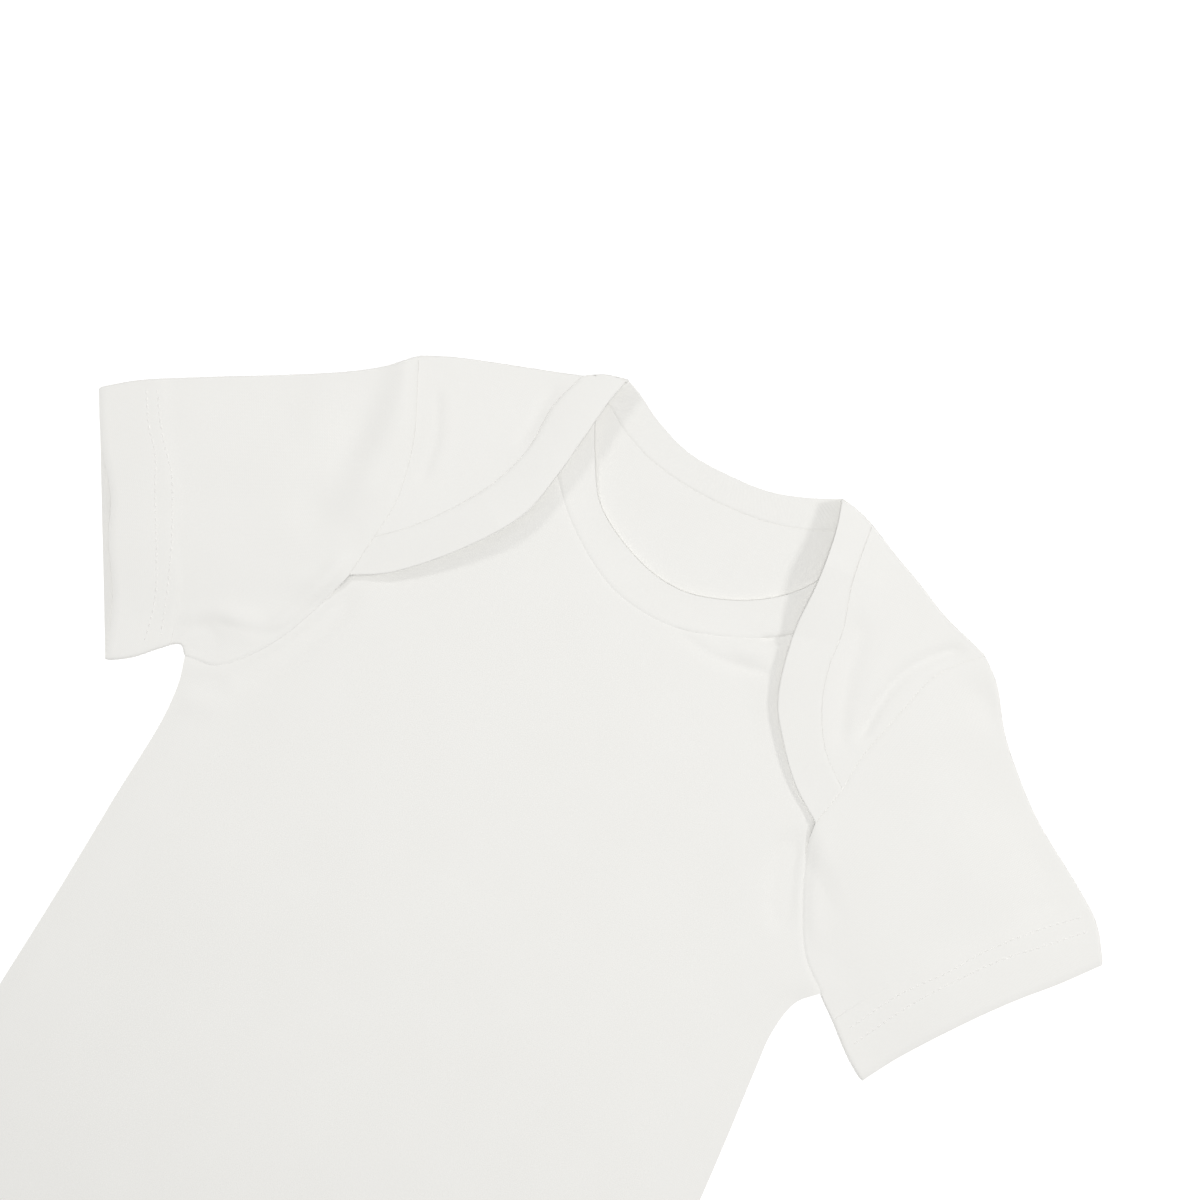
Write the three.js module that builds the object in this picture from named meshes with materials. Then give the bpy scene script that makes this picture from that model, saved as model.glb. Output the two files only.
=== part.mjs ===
// Baby bodysuit with lapped shoulders, laid flat on a surface, front up.
// Millimetres. X runs across the body, Y towards the neck, Z out of the front.
import * as THREE from 'three';

// Cloth and layers
const JERSEY = 1.0;
const RIB = 1.2;
const SLEEVE_HEM = 1.8;
const GAP = 0.3;
const HEM_DEPTH = 20;
const HEM_STEP = 1.6;
const HEM_CORNER_PULL = 4;

// Underside of each layer over the surface that the garment lies on
const FLOOR = {
  back: 0,
  front: RIB + GAP,
  lap: 2 * (RIB + GAP),
};
const SLEEVE_HEM_FLOOR = SLEEVE_HEM + GAP;

// Part of a sleeve's length over which it comes down from the thick shoulder, as a share
const SHOULDER_FADE = 0.6;

// Steps along each kind of seam, shared by the two pieces that meet there
const STEPS = {
  shoulder: 6,
  neck: 12,
  strap: 4,
  neckFront: 10,
  lap: 10,
  lapEnd: 2,
  armholeLow: 6,
  side: 6,
  leg: 8,
  sleeve: 5,
  hem: 2,
  tab: 3,
  bindingWidth: 3,
  bend: 4,
};

// The lower body is even about this line; the shoulders lie a little to its right
const BODY_MIDDLE = -4.5;
const BODY_CENTRE_BELOW_SHOULDERS = 176;
const FRONT_TOP_INSET = 2.6;
const STRAP_LENGTH = 34;
const PANEL_FADE = 3;

// Curves in the plane. Each row is x, y, with y = 0 on the line through the two shoulder points.
// A shoulder runs from the sleeve to the neck, a lap from the shoulder to its tip.
const LEFT = {
  shoulder: [[-90.8, -0.4], [-82.3, 3.7], [-65.8, 9.8], [-50.6, 15.1], [-44.6, 17.3]],
  shoulderBinding: [[-44.6, 17.3], [-39.0, 20.7], [-32.2, 22.6]],
  lapSeam: [[-44.6, 17.3], [-48.2, 5.2], [-48.8, -9.8], [-52.8, -22.9], [-61.2, -37.1], [-70.1, -48.0],
    [-77.0, -54.4]],
  lapEdge: [[-32.2, 22.6], [-34.2, 13.3], [-35.4, 3.0], [-37.4, -12.9], [-40.9, -28.2], [-52.7, -46.1],
    [-68.5, -62.4], [-78.3, -68.3]],
  armholeTop: [[-90.8, -0.4], [-86.4, -9.7], [-81.3, -20.6], [-77.7, -32.3], [-76.2, -43.0], [-77.0, -54.4]],
  armholeMiddle: [[-77.0, -54.4], [-77.5, -61.0], [-78.3, -68.3]],
  armholeLow: [[-78.3, -68.3], [-82.0, -80.4], [-87.1, -93.3], [-93.5, -103.6], [-101.0, -111.0],
    [-110.6, -113.0]],
  side: [[-110.6, -113.0], [-108.6, -120.0], [-107.6, -132.0], [-109.3, -160.4], [-111.1, -193.6],
    [-113.4, -225.9], [-114.8, -243.0], [-115.4, -261.5]],
  sleeveTop: [[-90.8, -0.4], [-98.7, -8.3], [-108.0, -15.0], [-124.2, -24.9], [-143.8, -36.6],
    [-171.2, -53.9]],
  sleeveUnder: [[-110.6, -113.0], [-113.6, -110.4], [-118.0, -114.2], [-124.7, -121.1], [-131.1, -125.4]],
  hem: [[-171.2, -53.9], [-165.1, -64.7], [-152.1, -87.9], [-140.9, -107.8], [-131.1, -125.4]],
  hemOfUpperLayer: [[-171.2, -53.9], [-163.3, -67.2], [-152.2, -81.6], [-147.2, -92.6], [-137.9, -107.4],
    [-131.1, -125.4]],
};
const RIGHT = {
  shoulder: [[101.2, -0.2], [94.4, 1.8], [84.5, 4.8], [74.0, 9.5], [63.0, 14.0], [52.8, 18.6]],
  shoulderBinding: [[52.8, 18.6], [46.9, 20.4], [41.2, 21.2]],
  lapSeam: [[52.8, 18.6], [55.4, 1.1], [59.9, -13.8], [61.5, -26.0], [65.0, -36.5], [72.0, -47.5],
    [82.0, -55.5]],
  lapEdge: [[41.2, 21.2], [44.0, 11.7], [46.3, -3.9], [47.2, -21.2], [52.4, -41.2], [59.4, -51.1],
    [69.1, -61.2], [79.6, -68.3]],
  armholeTop: [[101.2, -0.2], [94.4, -7.0], [89.9, -14.1], [87.1, -24.4], [84.6, -35.2], [82.5, -44.5],
    [82.0, -55.5]],
  armholeMiddle: [[82.0, -55.5], [81.0, -62.0], [79.6, -68.3]],
  armholeLow: [[79.6, -68.3], [80.9, -75.5], [83.3, -81.8], [87.1, -90.4], [95.6, -104.7], [105.2, -112.6]],
  side: [[105.2, -112.6], [99.7, -119.0], [97.7, -130.6], [98.4, -140.6], [100.5, -162.8], [102.3, -184.6],
    [105.2, -233.0], [106.4, -261.5]],
  sleeveTop: [[101.2, -0.2], [108.3, -6.1], [117.2, -17.8], [125.8, -26.2], [138.1, -36.2], [158.9, -48.7],
    [168.4, -55.4], [175.9, -65.4]],
  sleeveUnder: [[105.2, -112.6], [112.8, -119.1], [121.1, -125.9], [128.2, -130.4]],
  hem: [[175.9, -65.4], [166.8, -76.8], [158.0, -86.8], [148.2, -99.3], [134.9, -118.6], [128.2, -130.4]],
};
const NECK = {
  backSeam: [[-44.6, 17.3], [-34.2, 13.3], [-25.2, 8.2], [-13.6, 4.2], [3.0, 2.5], [22.5, 4.0], [34.5, 7.2],
    [43.7, 11.5], [52.8, 18.6]],
  backEdge: [[-32.2, 22.6], [-27.0, 20.5], [-19.4, 16.4], [-6.1, 11.9], [8.4, 11.5], [21.2, 12.9],
    [32.7, 16.9], [41.2, 21.2]],
  frontSeam: [[-50.6, 15.1], [-47.5, 4.0], [-43.0, -5.5], [-37.0, -13.3], [-26.2, -23.9], [-7.5, -34.7],
    [9.2, -37.0], [21.7, -34.7], [41.2, -26.0], [50.0, -18.5], [56.0, -8.0], [60.5, 2.5], [63.5, 13.8]],
  frontEdge: [[-39.0, 20.7], [-35.5, 8.0], [-29.6, -3.3], [-21.6, -14.6], [-2.8, -24.1], [11.8, -25.7],
    [26.5, -21.1], [36.9, -14.7], [43.7, -7.9], [48.6, 0.5], [52.0, 9.5], [53.2, 18.4]],
};

// Leg openings from the side seam to the crotch. Each row is the distance of the binding's free edge
// from the body's middle and its y, then the same for the seam between binding and panel.
const LEG_FRONT = [
  [111.3, -272.8, 110.9, -261.5],
  [95.3, -287.6, 88.5, -279.0],
  [75.7, -306.5, 67.5, -298.5],
  [57.0, -327.6, 48.0, -320.5],
  [42.6, -348.0, 32.5, -343.0],
  [36.0, -364.0, 25.2, -364.0],
];
const LEG_BACK = [
  [111.3, -272.8, 110.9, -261.5],
  [98.0, -289.0, 90.5, -281.0],
  [79.7, -310.0, 71.0, -302.5],
  [61.8, -332.6, 52.5, -326.0],
  [45.2, -357.1, 35.5, -352.0],
  [36.0, -378.0, 25.2, -378.0],
];
const TAB_TOP = -350.0;
const FLAP_LIFT = 3.0;
const FLAP_LIFT_FROM = -320.0;
const FLAP_LIFT_TO = -346.0;

// Broad swell of the upper layer: centre, half length and half width, turn in degrees, height
const SWELLS = [
  { name: 'chest', x: -4, y: -170, long: 180, wide: 104, turn: 90, high: 1.9 },
  { name: 'left sleeve', x: -128, y: -68, long: 56, wide: 40, turn: 32, high: 1.5 },
  { name: 'right sleeve', x: 130, y: -78, long: 58, wide: 42, turn: -34, high: 1.5 },
];

// Largest folds of the upper layer: soft ridges from one end to the other, with half width and height
const FOLDS = [
  { name: 'left armpit, upper', x1: -119, y1: -99, x2: -92, y2: -90, wide: 7, high: 2.2 },
  { name: 'left armpit, lower', x1: -104, y1: -121, x2: -84, y2: -104, wide: 7, high: 1.6 },
  { name: 'left sleeve, at the seam', x1: -88, y1: -22, x2: -84, y2: -72, wide: 7, high: 1.0 },
  { name: 'left sleeve, middle', x1: -108, y1: -30, x2: -112, y2: -80, wide: 12, high: 1.2 },
  { name: 'below the neck', x1: 10, y1: -43, x2: 40, y2: -44, wide: 7, high: 0.9 },
  { name: 'right sleeve, at the seam', x1: 99, y1: -10, x2: 92, y2: -55, wide: 7, high: 1.0 },
  { name: 'right armpit', x1: 92, y1: -122, x2: 112, y2: -104, wide: 7, high: 1.1 },
];

// Folds of the laps themselves
const LAP_FOLDS = [
  { name: 'left lap', x1: -71, y1: 0, x2: -68, y2: -34, wide: 6, high: 0.9 },
  { name: 'right lap', x1: 72, y1: -2, x2: 73, y2: -34, wide: 6, high: 0.7 },
];

// Snap fasteners at the crotch, shown fastened
const SNAP = { count: 3, pitch: 17, y: -356.5, capRadius: 5.2, capHigh: 1.2, studRadius: 4.2, studHigh: 1.4,
  sides: 28, edge: 0.35 };

const COLOURS = { jersey: 0xf0efeb, rib: 0xf0efeb, snap: 0xd9d8d4 };

const jersey = new THREE.MeshStandardMaterial({ color: COLOURS.jersey, roughness: 0.92, metalness: 0 });
const rib = new THREE.MeshStandardMaterial({ color: COLOURS.rib, roughness: 0.92, metalness: 0 });
const enamel = new THREE.MeshStandardMaterial({ color: COLOURS.snap, roughness: 0.4, metalness: 0.2 });

const DOWN = new THREE.Vector3(0, 0, -1);
const UP = new THREE.Vector3(0, 0, 1);

// The smooth curve through a table's rows
function smooth(rows) {
  const knots = rows.map(([x, y]) => new THREE.Vector3(x, y, 0));
  return new THREE.CatmullRomCurve3(knots, false, 'centripetal');
}

// Evenly spaced points on a stretch of a curve, given as shares of its length
function stretch(curve, from, to, steps) {
  return Array.from({ length: steps + 1 }, (_, step) => (
    curve.getPointAt(THREE.MathUtils.lerp(from, to, step / steps))
  ));
}

function along(rows, steps) {
  return stretch(smooth(rows), 0, 1, steps);
}

// Points of several curves that run on from each other
function joined(...curves) {
  return curves.flatMap((points, part) => (part === 0 ? points : points.slice(1)));
}

function reversed(points) {
  return [...points].reverse();
}

function direction(from, to) {
  return to.clone().sub(from).setZ(0).normalize();
}

// The curve with its ends cut back by a length along itself
function cutBack(points, atStart, atEnd) {
  const last = points.length - 1;
  const result = points.map((point) => point.clone());
  result[0].addScaledVector(direction(points[0], points[1]), atStart);
  result[last].addScaledVector(direction(points[last], points[last - 1]), atEnd);
  return result;
}

// Points between two curves with the same number of steps
function between(curveA, curveB, steps) {
  return Array.from({ length: steps + 1 }, (_, step) => (
    curveA.map((point, index) => point.clone().lerp(curveB[index], step / steps))
  ));
}

// Share of the whole length reached at each point, as the mean of two opposite edges
function shares(edgeA, edgeB) {
  const lengths = [edgeA, edgeB].map((edge) => {
    const sums = [0];
    for (let i = 1; i < edge.length; i += 1) sums.push(sums[i - 1] + edge[i].distanceTo(edge[i - 1]));
    return sums.map((sum) => sum / sums[sums.length - 1]);
  });
  return lengths[0].map((share, index) => (share + lengths[1][index]) / 2);
}

// Grid of points spanned by four edges: rows from bottom to top, each from left to right.
// A higher fade keeps the shape of the bottom and top edges closer to them.
function spanned(bottom, top, left, right, fade = 1) {
  const across = shares(bottom, top);
  const upward = shares(left, right);
  const last = bottom.length - 1;
  return upward.map((v, row) => across.map((u, column) => {
    const bow = (edge) => edge[column].clone().sub(edge[0].clone().lerp(edge[last], u));
    return left[row].clone().lerp(right[row], u)
      .addScaledVector(bow(bottom), (1 - v) ** fade)
      .addScaledVector(bow(top), v ** fade);
  }));
}

function smoothStep(from, to, value) {
  const share = Math.min(1, Math.max(0, (value - from) / (to - from)));
  return share * share * (3 - 2 * share);
}

function swellHeight({ x, y, long, wide, turn, high }, point) {
  const angle = THREE.MathUtils.degToRad(turn);
  const dx = point.x - x;
  const dy = point.y - y;
  const lengthwise = (dx * Math.cos(angle) + dy * Math.sin(angle)) / long;
  const crosswise = (dy * Math.cos(angle) - dx * Math.sin(angle)) / wide;
  const inside = Math.max(0, 1 - lengthwise ** 2 - crosswise ** 2);
  return high * inside * inside * (3 - 2 * inside);
}

function foldHeight({ x1, y1, x2, y2, wide, high }, point) {
  const start = new THREE.Vector3(x1, y1, 0);
  const run = new THREE.Vector3(x2, y2, 0).sub(start);
  const reach = new THREE.Vector3(point.x, point.y, 0).sub(start);
  const share = THREE.MathUtils.clamp(reach.dot(run) / run.lengthSq(), 0, 1);
  const distance = reach.addScaledVector(run, -share).length();
  return high * Math.exp(-((distance / wide) ** 2));
}

function flapLift(point) {
  return FLAP_LIFT * smoothStep(FLAP_LIFT_FROM, FLAP_LIFT_TO, point.y);
}

// Height of the upper layer over its lowest place
function rise(point) {
  const swell = SWELLS.reduce((sum, row) => sum + swellHeight(row, point), 0);
  const folds = FOLDS.reduce((sum, row) => sum + foldHeight(row, point), 0);
  return swell + folds + flapLift(point);
}

function lapRise(point) {
  return rise(point) + LAP_FOLDS.reduce((sum, row) => sum + foldHeight(row, point), 0);
}

// One point of a cloth: its middle, the way its outer side faces and half its thickness
function laid(point, floor, thick, outward, lift = 0) {
  return { middle: new THREE.Vector3(point.x, point.y, floor + lift + thick / 2), outward, half: thick / 2 };
}

const onBack = (thick) => (point) => laid(point, FLOOR.back, thick, DOWN);
const onFront = (thick) => (point) => laid(point, FLOOR.front, thick, UP, rise(point));
const onLap = (thick) => (point) => laid(point, FLOOR.lap, thick, UP, lapRise(point));
const onTab = (thick) => (point) => laid(point, FLOOR.front, thick, UP);

// Round fold from a lower cloth point to the upper one; the fold's outside touches the edge point
function bend(edge, inward, lower, upper) {
  const radius = (upper.middle.z - lower.middle.z) / 2;
  const half = (lower.half + upper.half) / 2;
  const centre = edge.clone().addScaledVector(inward, radius + half).setZ(lower.middle.z + radius);
  return Array.from({ length: STEPS.bend + 1 }, (_, step) => {
    const angle = Math.PI * (step / STEPS.bend);
    const outward = inward.clone().multiplyScalar(-Math.sin(angle)).setZ(-Math.cos(angle));
    return {
      middle: centre.clone().addScaledVector(outward, radius),
      outward,
      half: THREE.MathUtils.lerp(lower.half, upper.half, step / STEPS.bend),
    };
  });
}

// The rows of a fold along a whole edge, from the lower layer to the upper one
function bendRows(edges, inwards, lowerLayer, upperLayer) {
  const columns = edges.map((edge, index) => (
    bend(edge, inwards[index], lowerLayer(edge), upperLayer(edge))
  ));
  return columns[0].map((_, step) => columns.map((column) => column[step]));
}

// Quads between rows of cloth points
function woven(rows) {
  const quads = [];
  for (let row = 0; row + 1 < rows.length; row += 1) {
    for (let column = 0; column + 1 < rows[row].length; column += 1) {
      quads.push([rows[row][column], rows[row][column + 1], rows[row + 1][column + 1],
        rows[row + 1][column]]);
    }
  }
  return quads;
}

// Edges that only one quad uses, each from its first to its second point
function openEdges(quads) {
  const numbers = new Map();
  const number = (point) => {
    if (!numbers.has(point)) numbers.set(point, numbers.size);
    return numbers.get(point);
  };
  const edges = new Map();
  quads.forEach((quad) => quad.forEach((from, corner) => {
    const to = quad[(corner + 1) % quad.length];
    const back = `${number(to)}_${number(from)}`;
    if (edges.has(back)) edges.delete(back);
    else edges.set(`${number(from)}_${number(to)}`, [from, to]);
  }));
  return [...edges.values()];
}

// 1 where quads run round their outward direction as a right-handed screw does, else -1
function winding([quad]) {
  const [a, b, c] = quad.map((point) => point.middle);
  const normal = b.clone().sub(a).cross(c.clone().sub(a));
  return normal.dot(quad[0].outward) < 0 ? -1 : 1;
}

// Draws every open edge in by half the seam gap, in the cloth's own surface
function drawIn(quads) {
  const inwards = new Map();
  const facing = winding(quads);
  openEdges(quads).forEach(([from, to]) => {
    const run = to.middle.clone().sub(from.middle).normalize();
    [from, to].forEach((point) => {
      const inward = point.outward.clone().cross(run).multiplyScalar(facing).normalize();
      if (!inwards.has(point)) inwards.set(point, []);
      inwards.get(point).push(inward);
    });
  });
  inwards.forEach((pair, point) => {
    const mitre = pair[0].clone().add(pair[1]).divideScalar(1 + Math.max(-0.5, pair[0].dot(pair[1])));
    point.middle.addScaledVector(mitre, GAP / 2);
  });
}

// Closed wall around a cloth's middle surface
function wall(quads) {
  drawIn(quads);
  const numbers = new Map();
  const positions = [];
  const number = (point) => {
    if (!numbers.has(point)) {
      numbers.set(point, positions.length / 3);
      const outer = point.middle.clone().addScaledVector(point.outward, point.half);
      const inner = point.middle.clone().addScaledVector(point.outward, -point.half);
      positions.push(...outer.toArray(), ...inner.toArray());
    }
    return numbers.get(point);
  };
  const triangles = [];
  quads.forEach((quad) => {
    const [a, b, c, d] = quad.map(number);
    triangles.push([a, b, c], [a, c, d], [a + 1, c + 1, b + 1], [a + 1, d + 1, c + 1]);
  });
  openEdges(quads).forEach((edge) => {
    const [a, b] = edge.map(number);
    triangles.push([a, a + 1, b + 1], [a, b + 1, b]);
  });
  const geometry = new THREE.BufferGeometry();
  geometry.setAttribute('position', new THREE.Float32BufferAttribute(positions, 3));
  geometry.setIndex(triangles.flatMap((corners) => (winding(quads) < 0 ? reversed(corners) : corners)));
  geometry.computeVertexNormals();
  return geometry;
}

const garment = new THREE.Group();

function addPiece(name, geometry, material) {
  const piece = new THREE.Mesh(geometry, material);
  piece.name = name;
  garment.add(piece);
  return piece;
}

// The shared seam points of one side of the body
function sideSeams(side) {
  const top = along(side.armholeTop, STEPS.lap);
  const middle = along(side.armholeMiddle, STEPS.lapEnd);
  const low = along(side.armholeLow, STEPS.armholeLow);
  return {
    shoulder: along(side.shoulder, STEPS.shoulder),
    shoulderBinding: along(side.shoulderBinding, STEPS.bindingWidth),
    armholeTop: top,
    armhole: joined(top, middle, low),
    lapSeam: along(side.lapSeam, STEPS.lap + 1),
    lapEdge: along(side.lapEdge, STEPS.lap + 1),
    side: along(side.side, STEPS.side),
  };
}

const left = sideSeams(LEFT);
const right = sideSeams(RIGHT);

// Leg curves of one layer on one side: the free edge and the seam, from the side to the crotch
function legCurves(rows, sign) {
  const place = (across, y) => [BODY_MIDDLE + sign * across, y];
  return {
    edge: along(rows.map(([across, y]) => place(across, y)), STEPS.leg),
    seam: along(rows.map((row) => place(row[2], row[3])), STEPS.leg),
  };
}

const legs = {
  left: { front: legCurves(LEG_FRONT, -1), back: legCurves(LEG_BACK, -1) },
  right: { front: legCurves(LEG_FRONT, 1), back: legCurves(LEG_BACK, 1) },
};

// Fold directions of a shoulder, from the armhole's own direction to the neck's
function shoulderInwards(seams) {
  const atArmhole = direction(seams.armholeTop[0], seams.armholeTop[1]);
  const atNeck = bindingInward(seams);
  return seams.shoulder.map((_, index) => (
    atArmhole.clone().lerp(atNeck, index / STEPS.shoulder).normalize()
  ));
}

// Square to the shoulder fold where the binding crosses it
function bindingInward(seams) {
  const fold = direction(seams.shoulderBinding[0], seams.shoulderBinding[STEPS.bindingWidth]);
  const inward = new THREE.Vector3(fold.y, -fold.x, 0);
  return inward.y > 0 ? inward.negate() : inward;
}

// Body panels

function panelSide(seams, leg, armhole) {
  return joined(reversed(leg.seam), reversed(seams.side), reversed(armhole));
}

function crotchLine(y, neckSteps) {
  const half = LEG_BACK[LEG_BACK.length - 1][2];
  return along([[BODY_MIDDLE - half, y], [BODY_MIDDLE + half, y]], 2 * STEPS.shoulder + neckSteps);
}

// The lap of one shoulder, from the fold to its end; columns run from the armhole to the binding
function lapRows(seams, lastBend) {
  const seam = seams.lapSeam;
  const end = along([seam[STEPS.lap + 1].toArray(), seam[STEPS.lap].toArray()], STEPS.shoulder);
  const grid = spanned(seams.shoulder, end, seams.armholeTop, seam.slice(0, STEPS.lap + 1));
  return [lastBend, ...grid.slice(1).map((row) => row.map(onLap(JERSEY)))];
}

function backPanel() {
  const top = joined(left.shoulder, along(NECK.backSeam, STEPS.neck), reversed(right.shoulder));
  const fold = LEG_BACK[LEG_BACK.length - 1][1];
  const grid = spanned(
    crotchLine(fold, STEPS.neck), top,
    panelSide(left, legs.left.back, left.armhole), panelSide(right, legs.right.back, right.armhole),
    PANEL_FADE,
  );
  const rows = grid.map((row) => row.map(onBack(JERSEY)));
  const topRow = rows[rows.length - 1];
  const quads = [];

  const leftBend = bendRows(left.shoulder, shoulderInwards(left), onBack(JERSEY), onLap(JERSEY));
  const rightBend = bendRows(right.shoulder, shoulderInwards(right), onBack(JERSEY), onLap(JERSEY));
  leftBend[0].forEach((point, column) => { topRow[column] = point; });
  rightBend[0].forEach((point, column) => { topRow[topRow.length - 1 - column] = point; });
  quads.push(...woven([...leftBend, ...lapRows(left, leftBend[STEPS.bend]).slice(1)]));
  const rightRows = [...rightBend, ...lapRows(right, rightBend[STEPS.bend]).slice(1)];
  quads.push(...woven(rightRows.map(reversed)));

  const inwards = grid[0].map(() => new THREE.Vector3(0, 1, 0));
  const crotchBend = bendRows(grid[0], inwards, onBack(JERSEY), onTab(JERSEY));
  rows[0] = crotchBend[0];
  const tabGrid = between(crotchLine(fold, STEPS.neck), crotchLine(TAB_TOP, STEPS.neck), STEPS.tab)
    .slice(1);
  const tabRows = tabGrid.map((row) => row.map(onTab(JERSEY)));
  quads.push(...woven([...reversed(tabRows), ...reversed(crotchBend)]));

  quads.push(...woven(rows));
  addPiece('back_panel', wall(quads), jersey);
}

// Shoulder edge of the front, which lies under the lap just inside the fold
function frontShoulder(seams, armhole, neckEnd) {
  const start = armhole[0].clone().sub(seams.shoulder[0]);
  const end = neckEnd.clone().sub(seams.shoulder[STEPS.shoulder]);
  return seams.shoulder.map((point, index) => (
    point.clone().add(start.clone().lerp(end, index / STEPS.shoulder))
  ));
}

// The front's strap beside the neck: rows from its base to the shoulder, from the armhole to the neck
function strapGrid(seams, neckSide) {
  const armhole = cutBack(seams.armhole, FRONT_TOP_INSET, 0).slice(0, STEPS.strap + 1);
  const base = between([armhole[STEPS.strap]], [neckSide[STEPS.strap]], STEPS.shoulder).flat();
  return spanned(base, frontShoulder(seams, armhole, neckSide[0]), reversed(armhole), reversed(neckSide));
}

function frontPanel() {
  const neck = frontNeckCurve(NECK.frontSeam);
  const leftStrap = strapGrid(left, neck.slice(0, STEPS.strap + 1));
  const rightStrap = strapGrid(right, reversed(neck).slice(0, STEPS.strap + 1));
  const top = joined(leftStrap[0], neck.slice(STEPS.strap, -STEPS.strap), reversed(rightStrap[0]));
  const flapEnd = LEG_FRONT[LEG_FRONT.length - 1][1];
  const grid = spanned(
    crotchLine(flapEnd, STEPS.neckFront), top,
    panelSide(left, legs.left.front, left.armhole.slice(STEPS.strap)),
    panelSide(right, legs.right.front, right.armhole.slice(STEPS.strap)),
    PANEL_FADE,
  );
  const clothRows = (rows) => rows.map((row) => row.map(onFront(JERSEY)));
  const rows = clothRows(grid);
  const topRow = rows[rows.length - 1];
  const leftRows = [topRow.slice(0, STEPS.shoulder + 1), ...clothRows(leftStrap).slice(1)];
  const rightRows = [topRow.slice(-STEPS.shoulder - 1), ...clothRows(rightStrap).slice(1).map(reversed)];
  addPiece('front_panel', wall([...woven(rows), ...woven(leftRows), ...woven(rightRows)]), jersey);
}

// Bindings

// Stations of a binding: each is a row of points from the seam to the free edge
function bindingRows(seam, edge, layer) {
  const lines = between(seam, edge, STEPS.bindingWidth);
  return seam.map((_, station) => lines.map((line) => layer(line[station])));
}

// The back's one strip: left lap, over the shoulder, back neck, over the shoulder, right lap
function backNeckBinding() {
  const halves = [left, right].map((seams) => {
    const inward = bindingInward(seams);
    const fold = seams.shoulderBinding;
    const folded = bendRows(fold, fold.map(() => inward), onBack(RIB), onLap(RIB));
    const lap = bindingRows(seams.lapSeam, seams.lapEdge, onLap(RIB)).slice(1);
    return [...folded, ...lap];
  });
  const neckSeam = along(NECK.backSeam, STEPS.neck);
  const neckEdge = along(NECK.backEdge, STEPS.neck);
  const neck = bindingRows(neckSeam, neckEdge, onBack(RIB)).slice(1, STEPS.neck);
  addPiece('back_neck_binding', wall(woven([...reversed(halves[0]), ...neck, ...halves[1]])), rib);
}

// A front neck curve from shoulder to shoulder, with even steps beside each strap and between them
function frontNeckCurve(rows) {
  const curve = smooth(rows);
  const strap = STRAP_LENGTH / curve.getLength();
  const points = joined(
    stretch(curve, 0, strap, STEPS.strap),
    stretch(curve, strap, 1 - strap, STEPS.neckFront),
    stretch(curve, 1 - strap, 1, STEPS.strap),
  );
  return cutBack(points, FRONT_TOP_INSET, FRONT_TOP_INSET);
}

function frontNeckBinding() {
  const seam = frontNeckCurve(NECK.frontSeam);
  const edge = frontNeckCurve(NECK.frontEdge);
  addPiece('front_neck_binding', wall(woven(bindingRows(seam, edge, onFront(RIB)))), rib);
}

// One strip round a leg: front, over the side fold, back, over the crotch fold, tab
function legBinding(name, leg) {
  const front = bindingRows(leg.front.seam, leg.front.edge, onFront(RIB));
  const sideFold = between(leg.back.seam, leg.back.edge, STEPS.bindingWidth).map((line) => line[0]);
  const alongSeams = direction(leg.back.seam[0], leg.back.seam[1])
    .add(direction(leg.front.seam[0], leg.front.seam[1])).normalize();
  const sideBend = bendRows(sideFold, sideFold.map(() => alongSeams), onBack(RIB), onFront(RIB));
  const back = bindingRows(leg.back.seam, leg.back.edge, onBack(RIB));
  const crotchFold = between(leg.back.seam, leg.back.edge, STEPS.bindingWidth)
    .map((line) => line[STEPS.leg]);
  const towardsNeck = new THREE.Vector3(0, 1, 0);
  const crotchBend = bendRows(crotchFold, crotchFold.map(() => towardsNeck), onBack(RIB), onTab(RIB));
  const tabEnd = crotchFold.map((point) => point.clone().setY(TAB_TOP));
  const tab = between(crotchFold, tabEnd, STEPS.tab).slice(1).map((row) => row.map(onTab(RIB)));
  const rows = [
    ...reversed(front).slice(0, STEPS.leg),
    ...reversed(sideBend),
    ...back.slice(1, STEPS.leg),
    ...crotchBend,
    ...tab,
  ];
  addPiece(name, wall(woven(rows)), rib);
}

// Sleeves

// A curve's points up to a length from its end, and from there on
function splitCurve(rows, length, stepsBefore, stepsAfter) {
  const curve = smooth(rows);
  const turn = 1 - length / curve.getLength();
  return { before: stretch(curve, 0, turn, stepsBefore), after: stretch(curve, turn, 1, stepsAfter) };
}

// One layer of a sleeve: rows from the armhole to the hem, each from the underarm to the top
function sleeveGrid(table, seams, hemRows) {
  const steps = STEPS.lap + STEPS.lapEnd + STEPS.armholeLow;
  const top = splitCurve(table.sleeveTop, HEM_DEPTH, STEPS.sleeve, STEPS.hem);
  const under = splitCurve(table.sleeveUnder, HEM_DEPTH, STEPS.sleeve, STEPS.hem);
  const hem = along(reversed(hemRows), steps);
  const chord = direction(hem[0], hem[steps]);
  const inward = new THREE.Vector3(-chord.y, chord.x, 0);
  if (inward.dot(direction(hem[0], under.after[0])) < 0) inward.negate();
  const turn = hem.map((point) => point.clone().addScaledVector(inward, HEM_DEPTH));
  turn.forEach((point, index) => {
    const share = index / steps;
    const atUnder = under.after[0].clone().sub(turn[0]).multiplyScalar((1 - share) ** HEM_CORNER_PULL);
    const atTop = top.after[0].clone().sub(turn[steps]).multiplyScalar(share ** HEM_CORNER_PULL);
    if (index > 0 && index < steps) point.add(atUnder).add(atTop);
  });
  turn[0].copy(under.after[0]);
  turn[steps].copy(top.after[0]);
  const body = spanned(reversed(seams.armhole), turn, under.before, top.before);
  const hemPart = spanned(turn, hem, under.after, top.after);
  return { body, hemPart };
}

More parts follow.
